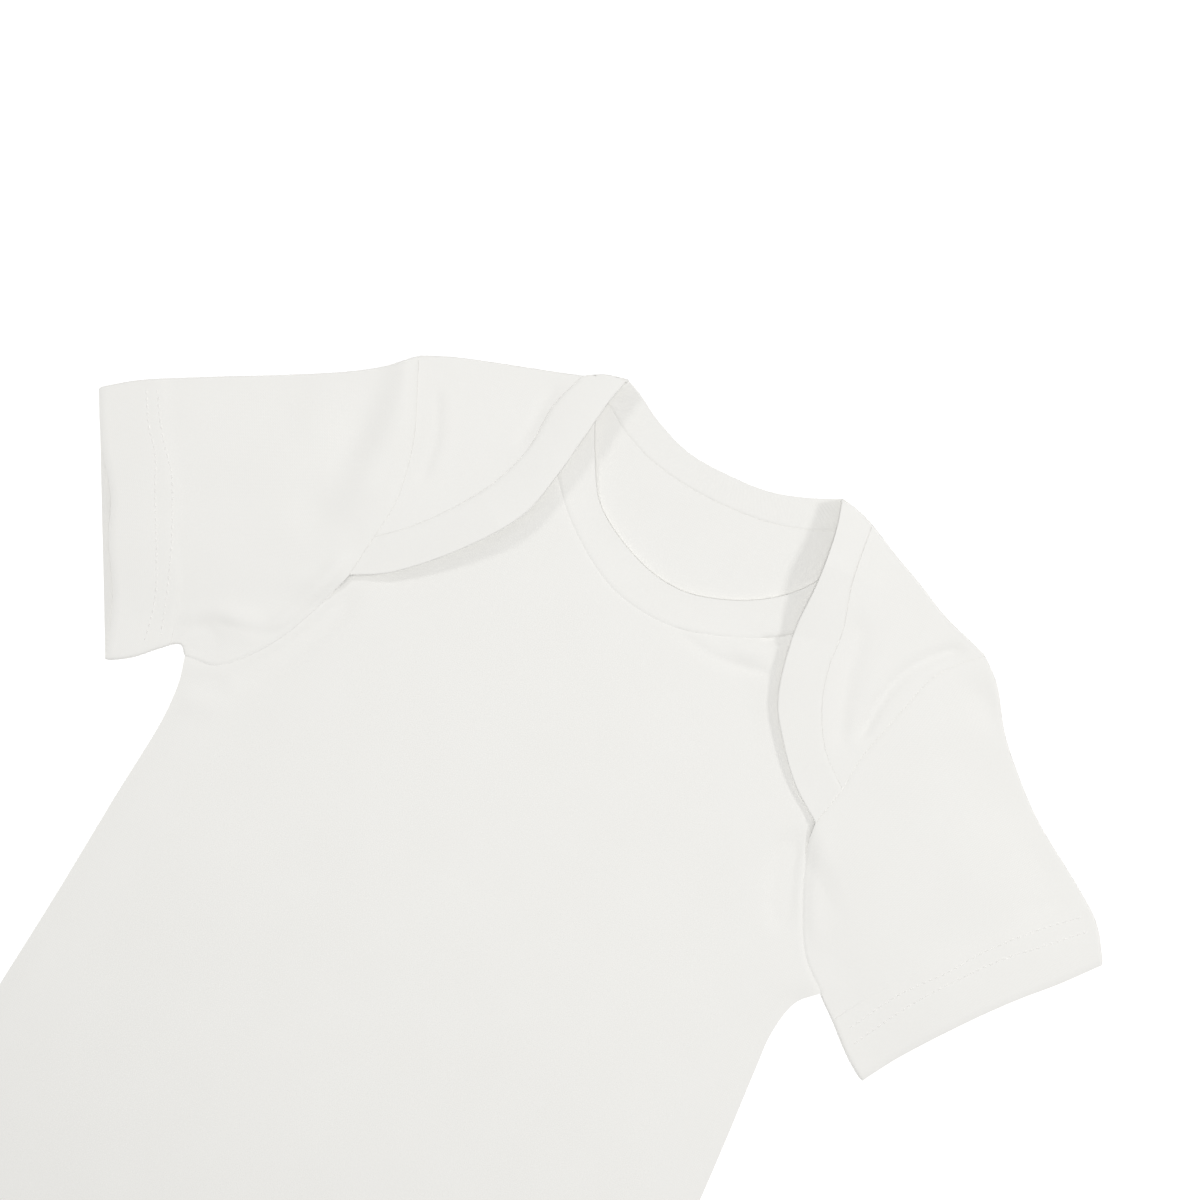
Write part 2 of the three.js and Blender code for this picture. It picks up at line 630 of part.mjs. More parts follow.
// Lift of a sleeve's upper layer beside the thick stack of lap and front; it fades towards the hem
function sleeveLift(station, column) {
  const lapTip = STEPS.lap + STEPS.lapEnd;
  const fromShoulder = lapTip + STEPS.armholeLow - column;
  const besideLap = 1 - smoothStep(STEPS.lap - STEPS.lapEnd, lapTip + 1, fromShoulder);
  const nearSeam = 1 - smoothStep(0, SHOULDER_FADE, station / STEPS.sleeve);
  return (FLOOR.lap - FLOOR.front) * besideLap * nearSeam;
}

function sleeve(name, table, seams) {
  const lower = sleeveGrid(table, seams, table.hem);
  const upper = sleeveGrid(table, seams, table.hemOfUpperLayer ?? table.hem);
  const stations = [];
  lower.body.forEach((row, station) => stations.push({
    lower: row, upper: upper.body[station], thick: JERSEY, floor: FLOOR.front, station,
  }));
  const stepShare = HEM_STEP / (HEM_DEPTH / STEPS.hem);
  const hemRows = ([first, ...rest]) => (
    [first.map((point, column) => point.clone().lerp(rest[0][column], stepShare)), ...rest]
  );
  hemRows(lower.hemPart).forEach((row, index) => stations.push({
    lower: row, upper: hemRows(upper.hemPart)[index], thick: SLEEVE_HEM, floor: SLEEVE_HEM_FLOOR,
    station: STEPS.sleeve,
  }));
  const rings = stations.map((row) => sleeveRing(row));
  addPiece(name, wall(woven(rings.map((ring) => [...ring, ring[0]]))), jersey);
}

// One closed ring of a flattened sleeve: underneath, over the top fold, back on top, underarm fold
function sleeveRing({ lower, upper, thick, floor, station }) {
  const last = lower.length - 1;
  const below = (point) => laid(point, FLOOR.back, thick, DOWN);
  const above = (point, column) => (
    laid(point, floor, thick, UP, rise(point) + sleeveLift(station, column))
  );
  const topFold = bend(upper[last], direction(lower[last], lower[last - 1]), below(lower[last]),
    above(upper[last], last));
  const underFold = bend(upper[0], direction(lower[0], lower[1]), below(lower[0]), above(upper[0], 0));
  const inner = (row, make) => row.slice(1, last).map((point, index) => make(point, index + 1));
  return [...inner(lower, below), ...topFold, ...reversed(inner(upper, above)), ...reversed(underFold)];
}

// Snaps: a cap on the flap and a stud between flap and tab

function disc(radius, high) {
  const { sides, edge } = SNAP;
  const profile = [[0, 0], [radius, 0], [radius, high - edge], [radius - edge, high], [0, high]];
  const points = profile.map(([x, y]) => new THREE.Vector2(x, y));
  return new THREE.LatheGeometry(points, sides).rotateX(Math.PI / 2);
}

function addSnap(index) {
  const x = BODY_MIDDLE + (index - (SNAP.count - 1) / 2) * SNAP.pitch;
  const place = new THREE.Vector3(x, SNAP.y, 0);
  const stud = addPiece(`snap_stud_${index + 1}`, disc(SNAP.studRadius, SNAP.studHigh), enamel);
  stud.position.set(x, SNAP.y, FLOOR.front + JERSEY + GAP);
  const cap = addPiece(`snap_cap_${index + 1}`, disc(SNAP.capRadius, SNAP.capHigh), enamel);
  cap.position.set(x, SNAP.y, FLOOR.front + rise(place) + JERSEY + GAP);
}

backPanel();
frontPanel();
backNeckBinding();
frontNeckBinding();
sleeve('sleeve_left', LEFT, left);
sleeve('sleeve_right', RIGHT, right);
legBinding('leg_binding_left', legs.left);
legBinding('leg_binding_right', legs.right);
for (let index = 0; index < SNAP.count; index += 1) addSnap(index);

garment.position.set(0, BODY_CENTRE_BELOW_SHOULDERS, 0);
export default garment;
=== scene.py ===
"""Baby bodysuit laid flat: thin cloth with folds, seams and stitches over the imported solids.

Plan tables are in millimetres, x across the body and y = 0 on the line through the shoulder points.
Meshes are made in metres in the row frame.
"""
import math

import bpy
import numpy as np
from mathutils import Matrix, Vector
from mathutils.bvhtree import BVHTree


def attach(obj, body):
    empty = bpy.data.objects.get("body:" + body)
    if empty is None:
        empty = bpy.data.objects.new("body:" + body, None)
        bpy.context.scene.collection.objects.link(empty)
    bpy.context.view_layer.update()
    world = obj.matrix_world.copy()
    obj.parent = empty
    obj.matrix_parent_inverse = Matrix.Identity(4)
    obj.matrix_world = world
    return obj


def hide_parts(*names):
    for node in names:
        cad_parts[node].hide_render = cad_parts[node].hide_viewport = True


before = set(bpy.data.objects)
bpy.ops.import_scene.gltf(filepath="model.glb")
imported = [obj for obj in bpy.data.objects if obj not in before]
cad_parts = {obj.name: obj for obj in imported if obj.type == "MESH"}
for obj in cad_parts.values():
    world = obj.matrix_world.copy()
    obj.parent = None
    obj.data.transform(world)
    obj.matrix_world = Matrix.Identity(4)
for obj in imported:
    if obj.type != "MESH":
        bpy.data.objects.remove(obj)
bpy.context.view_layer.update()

MM = 0.001
BODY_CENTRE_BELOW_SHOULDERS = 176.0

# Cloth thicknesses in mm
JERSEY = 0.9
RIB = 1.0
HEM = 1.3

# Underside of each layer over the surface that the garment lies on, in mm
BACK_FLOOR = 0.0
FRONT_FLOOR = 1.5
LAP_FLOOR = 3.0
HEM_FLOOR = 1.6
LAYER_CLEARANCE = 0.15

BODY_MIDDLE = -4.5
FRONT_TOP_INSET = 2.6
STRAP_LENGTH = 34.0
PANEL_FADE = 3.0
HEM_DEPTH = 20.0
HEM_CORNER_PULL = 4.0
HEM_FADE = 1.5
SHOULDER_FADE = 0.6
LIFT_FADE = 9
TAB_TOP = -350.0

# Steps of the grids along each kind of seam
SHOULDER_STEPS = 40
NECK_STEPS = 60
STRAP_STEPS = 24
NECK_FRONT_STEPS = 60
LAP_STEPS = 64
LAP_END_STEPS = 10
ARMHOLE_LOW_STEPS = 36
SIDE_STEPS = 76
LEG_STEPS = 70
SLEEVE_STEPS = 56
HEM_STEPS = 16
TAB_STEPS = 16
TAB_BINDING_STEPS = 63
BEND_STEPS = 10
NECK_BEND_STEPS = 16
LEG_BEND_STEPS = 12
FOLD_STEPS = 24
PRESSED_FOLD = 0.3
FINE_GAPS = (0.16, 0.42)

# Shares of a binding's width where its lines run, closer together at the seam and the rolled edge
BINDING_LINES = (0.0, 0.03, 0.08, 0.16, 0.30, 0.45, 0.60, 0.74, 0.85, 0.92, 0.96, 0.985, 1.0)
RIB_WIDTH = 11.5
RIB_PITCH = 1.15
RIB_HIGH = 0.03
RIB_PARTS = 4
RIB_FADE = 1.2

# Plan curves
LEFT = {
    "shoulder": [(-90.8, -0.4), (-82.3, 3.7), (-65.8, 9.8), (-50.6, 15.1), (-44.6, 17.3)],
    "binding": [(-44.6, 17.3), (-39, 20.7), (-32.2, 22.6)],
    "lap_seam": [(-44.6, 17.3), (-48.2, 5.2), (-48.8, -9.8), (-52.8, -22.9), (-61.2, -37.1), (-70.1, -48),
                 (-77, -54.4)],
    "lap_edge": [(-32.2, 22.6), (-34.2, 13.3), (-35.4, 3), (-37.4, -12.9), (-40.9, -28.2), (-52.7, -46.1),
                 (-68.5, -62.4), (-78.3, -68.3)],
    "armhole_top": [(-90.8, -0.4), (-86.4, -9.7), (-81.3, -20.6), (-77.7, -32.3), (-76.2, -43),
                    (-77, -54.4)],
    "armhole_middle": [(-77, -54.4), (-77.5, -61), (-78.3, -68.3)],
    "armhole_low": [(-78.3, -68.3), (-82, -80.4), (-87.1, -93.3), (-93.5, -103.6), (-101, -111),
                    (-110.6, -113)],
    "side": [(-110.6, -113), (-108.6, -120), (-107.6, -132), (-109.3, -160.4), (-111.1, -193.6),
             (-113.4, -225.9), (-114.8, -243), (-115.4, -261.5)],
    "sleeve_top": [(-90.8, -0.4), (-98.7, -8.3), (-108, -15), (-124.2, -24.7), (-143.8, -35.8),
                   (-161.9, -46.6), (-171.2, -53.9)],
    "sleeve_under": [(-110.6, -113), (-113.6, -110.4), (-118, -114.2), (-124.7, -121.1), (-131.1, -125.4)],
    "hem": [(-171.2, -53.9), (-165.1, -64.7), (-152.1, -87.9), (-140.9, -107.8), (-131.1, -125.4)],
    "hem_upper": [(-171.2, -53.9), (-163.3, -67.2), (-152.2, -81.6), (-147.2, -92.6), (-137.9, -107.4),
                  (-131.1, -125.4)],
}
RIGHT = {
    "shoulder": [(101.2, -0.2), (94.4, 1.8), (84.5, 4.8), (74, 9.5), (63, 14), (52.8, 18.6)],
    "binding": [(52.8, 18.6), (46.9, 20.4), (41.2, 21.2)],
    "lap_seam": [(52.8, 18.6), (55.4, 1.1), (59.9, -13.8), (61.5, -26), (65, -36.5), (72, -47.5),
                 (82, -55.5)],
    "lap_edge": [(41.2, 21.2), (44, 11.7), (46.3, -3.9), (47.2, -21.2), (52.4, -41.2), (59.4, -51.1),
                 (69.1, -61.2), (79.6, -68.3)],
    "armhole_top": [(101.2, -0.2), (94.4, -7), (89.9, -14.1), (87.1, -24.4), (84.6, -35.2), (82.5, -44.5),
                    (82, -55.5)],
    "armhole_middle": [(82, -55.5), (80.6, -61.9), (79.6, -68.3)],
    "armhole_low": [(79.6, -68.3), (80.9, -75.5), (83.3, -81.8), (87.1, -90.4), (95.6, -104.7),
                    (105.2, -112.6)],
    "side": [(105.2, -112.6), (99.7, -119), (97.7, -130.6), (98.4, -140.6), (100.5, -162.8),
             (102.3, -184.6), (105.2, -233), (106.4, -261.5)],
    "sleeve_top": [(101.2, -0.2), (108.3, -6.1), (117.2, -17.8), (125.8, -26.2), (138.1, -36.2),
                   (158.9, -48.7), (168.4, -55.4), (175.9, -65.4)],
    "sleeve_under": [(105.2, -112.6), (112.8, -119.1), (121.1, -125.9), (128.2, -130.4)],
    "hem": [(175.9, -65.4), (166.8, -76.8), (158, -86.8), (148.2, -99.3), (134.9, -118.6), (128.2, -130.4)],
}
NECK = {
    "back_seam": [(-44.6, 17.3), (-34.2, 13.3), (-25.2, 8.2), (-13.6, 4.2), (3, 2.5), (22.5, 4),
                  (34.5, 7.2), (43.7, 11.5), (52.8, 18.6)],
    "back_edge": [(-32.2, 22.6), (-27, 20.5), (-19.4, 16.4), (-6.1, 11.9), (8.4, 11.5), (21.2, 12.9),
                  (32.7, 16.9), (41.2, 21.2)],
    "front_seam": [(-50.6, 15.1), (-47.5, 4), (-43, -5.5), (-37, -13.3), (-26.2, -23.9), (-7.5, -34.7),
                   (9.2, -37), (21.7, -34.7), (41.2, -26), (50, -18.5), (56, -8), (60.5, 2.5),
                   (63.5, 13.8)],
    "front_edge": [(-39, 20.7), (-35.5, 8), (-29.6, -3.3), (-21.6, -14.6), (-2.8, -24.1), (11.8, -25.7),
                   (26.5, -21.1), (36.9, -14.7), (43.7, -7.9), (48.6, 0.5), (52, 9.5), (53.2, 18.4)],
}

# Leg openings: distance of the free edge from the middle and its y, then the same for the seam
LEG_FRONT = [
    (111.3, -272.8, 110.9, -261.5), (95.3, -287.6, 88.5, -279), (75.7, -306.5, 67.5, -298.5),
    (57, -327.6, 48, -320.5), (42.6, -348, 32.5, -343), (36, -364, 25.2, -364),
]
LEG_BACK = [
    (111.3, -272.8, 110.9, -261.5), (98, -289, 90.5, -281), (79.7, -310, 71, -302.5),
    (61.8, -332.6, 52.5, -326), (45.2, -357.1, 35.5, -352), (36, -378, 25.2, -378),
]

# Flap at the crotch, which lies on the snaps
FLAP_LIFT = 3.0
FLAP_LIFT_FROM = -320.0
FLAP_LIFT_TO = -346.0

# Broad swells of the upper layer: centre, half length, half width, turn in degrees, height
SWELLS = [
    (-4, -170, 180, 104, 90, 1.9),
    (-128, -68, 56, 40, 32, 1.5),
    (130, -78, 58, 42, -34, 1.5),
    (-58, -22, 46, 34, 40, 0.8),
    (66, -22, 46, 34, -50, 0.8),
]

# Half widths over which a fold tapers off at each end
FOLD_TAPER = 3

# Folds: line, half width, height; troughs have a negative height.
# The first table is shared by all upper layers, the others belong to one layer.
FOLDS = [
    ([(-88, -22), (-84, -72)], 8, 0.5),
    ([(-108, -30), (-112, -80)], 14, 0.6),
    ([(99, -10), (92, -55)], 9, 0.5),
    ([(92, -122), (112, -104)], 7, 0.5),
]
FRONT_FOLDS = [
    ([(-41, -12), (-44.5, -30), (-53.5, -47), (-66, -60), (-76, -68)], 4, -0.5),
    ([(14.2, -36.9), (20.5, -37.9), (26.3, -38.7), (32.3, -38.5), (38.6, -37.5), (44.6, -35.8),
      (49, -34.7)], 1.6, -0.5),
    ([(24, -42.5), (33, -42.5), (43, -40.5)], 3, 0.15),
    ([(30, -34.5), (38, -32.5), (45, -29)], 2.4, 0.6),
    ([(38, -28.3), (42.4, -26.2), (48.5, -22)], 1.2, -0.9),
    ([(-74.6, -68.8), (-76.9, -79.6), (-81.4, -91.3), (-87.8, -104.3), (-95.5, -114.4)], 4.2, -1.3),
    ([(-108.3, -120.8), (-101.8, -118.2), (-94.4, -113.8)], 2.2, -0.9),
    ([(-110, -127), (-100, -124), (-89, -118)], 3.4, 0.5),
    ([(76.1, -70.3), (77.4, -82.7), (81.5, -93.4), (87.7, -103.7)], 4, -1.5),
    ([(-100, -150), (-70, -170), (-40, -178)], 22, 0.5),
    ([(-60, -120), (-20, -150), (10, -200)], 26, 0.5),
]
LAP_FOLDS = [
    ([(-82.2, -5.4), (-78.2, -12.2), (-75.4, -17.8), (-73.8, -23.7), (-73, -29.8),
      (-72.9, -35.8)], 1.6, -0.32),
    ([(-79.8, -3.2), (-74.2, -13.4), (-70.5, -24), (-70.5, -33)], 2.8, 0.3),
    ([(-49.5, 13.5), (-51, 4.8), (-51.1, -4.4), (-53, -12.3)], 2.2, -0.55),
    ([(96.9, -1), (90.4, -5), (86, -9.8), (82.6, -15.4), (80.6, -21.4), (79.8, -27.6), (79.7, -34.9),
      (79.5, -42.4)], 2.2, -0.95),
    ([(75, 2), (73, -8.5), (74, -20.5), (76.5, -32.5)], 3, 0.25),
    ([(62.5, -4.5), (65.3, -15.2), (67.5, -24.9), (70.4, -33), (74, -41.6), (76.2, -48.2)], 3, -0.75),
    ([(62, 9), (61.5, 0), (63.5, -9)], 2.4, 0.25),
]
SLEEVE_FOLDS = [
    ([(-101, 8), (-98, -12.7), (-96.8, -27.3), (-96.1, -46.7)], 6, -0.6),
    ([(-96, 14), (-90, -8), (-87, -22), (-86.2, -37), (-86, -58)], 6.5, 1.6),
    ([(-106.7, -16.6), (-109.6, -31.2), (-107.8, -44.1)], 6, 0.7),
    ([(-108.9, -50.2), (-98.2, -56.2), (-88.6, -65.7)], 7, -0.8),
    ([(-117.5, -107), (-115, -101.5), (-109.5, -97), (-102, -95), (-92, -92.5)], 2.4, 0.45),
    ([(-108, -100), (-101, -98), (-94.5, -96.6), (-86.9, -91.4)], 1.6, -0.2),
    ([(-113, -98), (-104, -96), (-97, -98.5), (-93.5, -103)], 4.5, 0.7),
    ([(-114.4, -106.7), (-108, -106.5), (-102, -109)], 4, -1.2),
    ([(-80.8, -60), (-84.6, -75.2), (-88.5, -86.3), (-94.9, -97.1)], 3, 0.8),
    ([(83.5, -66.4), (86.4, -80.5), (92, -92.8), (98.5, -102.7)], 3.6, 0.5),
    ([(136.5, -40.8), (146.5, -49.6), (154.8, -59.4)], 5.5, -0.6),
    ([(143.7, -64.7), (152.9, -58.2), (161, -51.6)], 3, -0.5),
    ([(95, -9.9), (108.8, -13.7), (115.8, -23.6)], 5, -1),
    ([(118, -40), (128, -62), (126, -84)], 12, 0.6),
]

# Height of a free edge over where the cloth would lie, by share of the edge's length
LAP_LIFT = {
    "left": [(0, 2), (0.15, 2.8), (0.35, 2.6), (0.55, 2.8), (0.75, 1.5), (1, -0.2)],
    "right": [(0, 2), (0.1, 3.2), (0.2, 3.9), (0.3, 2.8), (0.42, 1.2), (0.6, 0.6), (0.8, 0.3),
              (1, -0.3)],
}
LAP_LIFT_REACH = 12.0
NECK_LIFT = [(0, 0), (0.15, 0), (0.27, -0.9), (0.8, -0.9), (0.9, 0), (1, 0)]
NECK_LIFT_REACH = 9.0

# The front comes down to the back along the side seams
SIDE_REACH = 4.0
SIDE_GAP = 0.05
SIDE_HELD_FROM = (0, 0.06)
SIDE_HELD_TO = (0.86, 0.99)

# Softness of the stop where a layer would come down through the one below
SOFT_STOP = 0.12

# Layers sewn together at an armhole meet at one height
SEAM_REACH = 2.2

# Depths and widths of what seams and stitches draw in, and the rounding of edges
SEAM_DITCH = 0.18
ARMHOLE_DITCH = 0.24
SEAM_DITCH_WIDTH = 0.5
STITCH_DITCH = 0.07
STITCH_DITCH_WIDTH = 1.0
STITCH_ROW_PARTS = 8
SEAM_SLOPE = 0.9
ROLLED_EDGE = 0.25
ROLLED_EDGE_SHARE = 0.55
CUT_EDGE = 0.35
CUT_EDGE_SHARE = 0.3

# Rows of hem stitches on the upper layer
HEM_ROWS = {
    "left": [
        [(-158.3, -47.6), (-152, -57.5), (-147.2, -62.8), (-140.8, -74.7), (-135.8, -83.5),
         (-126.5, -101.7), (-123.2, -114.8)],
        [(-155.4, -46), (-148.8, -55.8), (-144.3, -61.2), (-139.8, -66.3), (-128.7, -87.3),
         (-122.2, -103.9), (-119.6, -111.6)],
    ],
    "right": [
        [(163.5, -55.9), (158.2, -60.7), (151.4, -67.8), (140.4, -81.5), (135.9, -88.9), (126.2, -101.5),
         (117.6, -118)],
        [(167.2, -58.6), (161, -65), (154.5, -71.7), (149.2, -77.1), (143.5, -84.1), (131.4, -101.5),
         (122.6, -118), (120.9, -121.6)],
    ],
}

SNAP_COUNT = 3
SNAP_PITCH = 17.0
SNAP_Y = -356.5
SNAP_SIDES = 48
SNAP_GAP = 0.05

# Fine unevenness: size and height of the bumps
CRUMPLES = ((38, 0.18), (15, 0.06), (6, 0.02))
NOISE_SEED = 4107
NOISE_CELLS = 96


# Plan geometry

def smooth(rows, parts=48):
    """Dense points on the centripetal curve through a table's rows."""
    knots = np.asarray(rows, float)
    ends = np.vstack([2 * knots[0] - knots[1], knots, 2 * knots[-1] - knots[-2]])
    gaps = np.sqrt(np.linalg.norm(np.diff(ends, axis=0), axis=1))
    t = np.linspace(0, 1, parts, endpoint=False)[:, None]
    pieces = []
    for i in range(len(knots) - 1):
        p0, p1, p2, p3 = ends[i:i + 4]
        d0, d1, d2 = gaps[i:i + 3]
        m1 = ((p1 - p0) / d0 - (p2 - p0) / (d0 + d1) + (p2 - p1) / d1) * d1
        m2 = ((p2 - p1) / d1 - (p3 - p1) / (d1 + d2) + (p3 - p2) / d2) * d1
        pieces.append((2 * t**3 - 3 * t**2 + 1) * p1 + (t**3 - 2 * t**2 + t) * m1
                      + (3 * t**2 - 2 * t**3) * p2 + (t**3 - t**2) * m2)
    return np.vstack([*pieces, knots[-1:]])


def lengths(points):
    """Length along a line up to each of its points."""
    return np.concatenate([[0.0], np.cumsum(np.linalg.norm(np.diff(points, axis=0), axis=1))])


def at_lengths(points, at):
    """Points on a line at lengths along it."""
    run = lengths(points)
    return np.column_stack([np.interp(at, run, column) for column in points.T])


def at_marks(points, marks):
    """Points on a line at shares of its length."""
    return at_lengths(points, np.asarray(marks) * lengths(points)[-1])


def stretch(points, start, end, steps):
    """Evenly spaced points on a stretch of a line, given as shares of its length."""
    return at_marks(points, np.linspace(start, end, steps + 1))


def along(rows, steps):
    return stretch(smooth(rows), 0, 1, steps)


def joined(*lines):
    return np.vstack([lines[0], *[line[1:] for line in lines[1:]]])


def unit(vector):
    return vector / np.linalg.norm(vector)


def cut_back(points, at_start, at_end):
    result = points.copy()
    result[0] += unit(points[1] - points[0]) * at_start
    result[-1] += unit(points[-2] - points[-1]) * at_end
    return result


def between(line_a, line_b, marks):
    """Lines between two lines with the same number of points, at shares of the way."""
    marks = np.asarray(marks, float)[:, None, None]
    return line_a[None] * (1 - marks) + line_b[None] * marks


def shares(edge_a, edge_b):
    return sum(lengths(edge) / lengths(edge)[-1] for edge in (edge_a, edge_b)) / 2


def spanned(bottom, top, left, right, fade=1.0):
    """Grid spanned by four edges: rows from bottom to top, each from left to right."""
    u = shares(bottom, top)[None, :, None]
    v = shares(left, right)[:, None, None]

    def bow(edge):
        return (edge - (edge[0] + (edge[-1] - edge[0]) * u[0]))[None]

    grid = left[:, None] + (right - left)[:, None] * u
    return grid + bow(bottom) * (1 - v) ** fade + bow(top) * v ** fade


def smooth_step(start, end, value):
    share = np.clip((value - start) / (end - start), 0, 1)
    return share * share * (3 - 2 * share)


def nearest(points, line):
    """Distance of each point from a line, and share of its length at the nearest place."""
    flat = points.reshape(-1, 2)
    run = lengths(line)
    best = np.full(len(flat), np.inf)
    share = np.zeros(len(flat))
    for i in range(len(line) - 1):
        a, d = line[i], line[i + 1] - line[i]
        size = float(d @ d)
        if size == 0:
            continue
        reach = flat - a
        t = np.clip(reach @ d / size, 0, 1)
        off = reach - t[:, None] * d
        gap = np.hypot(off[:, 0], off[:, 1])
        closer = gap < best
        best[closer] = gap[closer]
        share[closer] = (run[i] + t[closer] * math.sqrt(size)) / run[-1]
    shape = points.shape[:-1]
    return best.reshape(shape), share.reshape(shape)


# Heights

def swell(points, row):
    x, y, long, wide, turn, high = row
    angle = math.radians(turn)
    dx, dy = points[..., 0] - x, points[..., 1] - y
    lengthwise = (dx * math.cos(angle) + dy * math.sin(angle)) / long
    crosswise = (dy * math.cos(angle) - dx * math.sin(angle)) / wide
    inside = np.clip(1 - lengthwise**2 - crosswise**2, 0, 1)
    return high * inside * inside * (3 - 2 * inside)


def fold(points, row):
    rows, wide, high = row
    line = along(rows, FOLD_STEPS)
    gap, share = nearest(points, line)
    taper = min(0.5, FOLD_TAPER * wide / lengths(line)[-1])
    ends = smooth_step(0, taper, share) * smooth_step(0, taper, 1 - share)
    return high * np.exp(-((gap / wide) ** 2)) * ends


def noise(points, scale, seed):
    """Even seeded noise from -1 to 1 with bumps of about the given size in mm."""
    random = np.random.RandomState(seed)
    values = random.uniform(-1, 1, (NOISE_CELLS, NOISE_CELLS))
    place = points / scale + NOISE_CELLS / 2
    cell = np.floor(place).astype(int)
    t = place - cell
    t = t * t * (3 - 2 * t)
    x, y = cell[..., 0] % NOISE_CELLS, cell[..., 1] % NOISE_CELLS
    x1, y1 = (x + 1) % NOISE_CELLS, (y + 1) % NOISE_CELLS
    low = values[x, y] * (1 - t[..., 0]) + values[x1, y] * t[..., 0]
    high = values[x, y1] * (1 - t[..., 0]) + values[x1, y1] * t[..., 0]
    return low * (1 - t[..., 1]) + high * t[..., 1]


def folds(points, table):
    return sum(fold(points, row) for row in table)


def rise(points):
    """Height of the upper layer over its lowest place."""
    swells = sum(swell(points, row) for row in SWELLS)
    flap = FLAP_LIFT * smooth_step(FLAP_LIFT_FROM, FLAP_LIFT_TO, points[..., 1])
    crumple = sum(high * noise(points, size, NOISE_SEED + i)
                  for i, (size, high) in enumerate(CRUMPLES))
    return swells + folds(points, FOLDS) + flap + crumple


def edge_lift(points, line, profile, reach):
    gap, share = nearest(points, line)
    at, high = np.array(profile, float).T
    return np.interp(share, at, high) * np.exp(-((gap / reach) ** 2))


def clear_of_armholes(points):
    """0 on the armhole seams and 1 away from them, for what only one of the layers does."""
    total = np.ones(points.shape[:-1])
    for seams in (left, right):
        total = total * (1 - np.exp(-((nearest(points, seams["armhole"])[0] / SEAM_REACH) ** 2)))
    return total


# Shared seam lines

def side_seams(table):
    top = along(table["armhole_top"], LAP_STEPS)
    middle = along(table["armhole_middle"], LAP_END_STEPS)
    low = along(table["armhole_low"], ARMHOLE_LOW_STEPS)
    return {
        "shoulder": along(table["shoulder"], SHOULDER_STEPS),
        "binding": at_marks(smooth(table["binding"]), BINDING_LINES),
        "armhole_top": top,
        "armhole": joined(top, middle, low),
        "lap_seam": smooth(table["lap_seam"]),
        "lap_edge": smooth(table["lap_edge"]),
        "side": along(table["side"], SIDE_STEPS),
    }


left = side_seams(LEFT)
right = side_seams(RIGHT)


def leg_curves(rows, sign):
    edge_x, edge_y, seam_x, seam_y = np.array(rows).T
    edge = np.column_stack([BODY_MIDDLE + sign * edge_x, edge_y])
    seam = np.column_stack([BODY_MIDDLE + sign * seam_x, seam_y])
    return {"edge": along(edge, LEG_STEPS), "seam": along(seam, LEG_STEPS)}


legs = {side: {"front": leg_curves(LEG_FRONT, sign), "back": leg_curves(LEG_BACK, sign)}
        for side, sign in (("left", -1), ("right", 1))}


def front_neck_curve(rows):
    curve = smooth(rows)
    strap = STRAP_LENGTH / lengths(curve)[-1]
    points = joined(stretch(curve, 0, strap, STRAP_STEPS),
                    stretch(curve, strap, 1 - strap, NECK_FRONT_STEPS),
                    stretch(curve, 1 - strap, 1, STRAP_STEPS))
    return cut_back(points, FRONT_TOP_INSET, FRONT_TOP_INSET)


front_seam = front_neck_curve(NECK["front_seam"])
front_edge = front_neck_curve(NECK["front_edge"])
SEAMS = {
    "front": [front_seam, *(leg["front"]["seam"] for leg in legs.values())],
    "back": [smooth(NECK["back_seam"]), *(leg["back"]["seam"] for leg in legs.values())],
    "lap": [left["lap_seam"], right["lap_seam"]],
    "sleeve": [],
}


def ditch(points, names, rows=()):
    """How far a seam, and rows of stitches, pull the outer side in."""
    armholes = [left["armhole"], right["armhole"]]
    stitched = [smooth(row, STITCH_ROW_PARTS) for row in rows]
    return np.max([deep * np.exp(-((nearest(points, line)[0] / wide) ** 2))
                   for lines, deep, wide in ((armholes, ARMHOLE_DITCH, SEAM_DITCH_WIDTH),
                                             (SEAMS[names], SEAM_DITCH, SEAM_DITCH_WIDTH),
                                             (stitched, STITCH_DITCH, STITCH_DITCH_WIDTH))
                   for line in lines], axis=0)


# Cloth points: middle of the cloth in 3-D, with the thickness above and below it

def side_closing(points):
    """1 on the side seams, where front and back are sewn together, and 0 away from them."""
    total = np.zeros(points.shape[:-1])
    for seams in (left, right):
        gap, share = nearest(points, seams["side"])
        held = smooth_step(*SIDE_HELD_FROM, share) * (1 - smooth_step(*SIDE_HELD_TO, share))
        total = np.maximum(total, held * np.exp(-((gap / SIDE_REACH) ** 2)))
    return total


def kept_over(height, lowest):
    """The height, softly stopped where it would come down through the layer below."""
    return lowest + SOFT_STOP * np.logaddexp(0, (height - lowest) / SOFT_STOP)


def front_height(points):
    own = folds(points, FRONT_FOLDS) * clear_of_armholes(points)
    height = FRONT_FLOOR + rise(points) + own
    height = height + edge_lift(points, front_edge, NECK_LIFT, NECK_LIFT_REACH)
    height = kept_over(height, JERSEY + LAYER_CLEARANCE)
    return height + (JERSEY + SIDE_GAP - height) * side_closing(points)


def lap_height(points):
    own = folds(points, LAP_FOLDS)
    for name, seams in (("left", left), ("right", right)):
        own = own + edge_lift(points, seams["lap_edge"], LAP_LIFT[name], LAP_LIFT_REACH)
    return LAP_FLOOR + rise(points) + own * clear_of_armholes(points)


def back_height(points):
    return np.full(points.shape[:-1], BACK_FLOOR)


def tab_height(points):
    return np.full(points.shape[:-1], FRONT_FLOOR)


def lay(points, height, thick):
    """Middle surface of a cloth that lies at a height."""
    return np.concatenate([points, (height(points) + thick / 2)[..., None]], axis=-1)


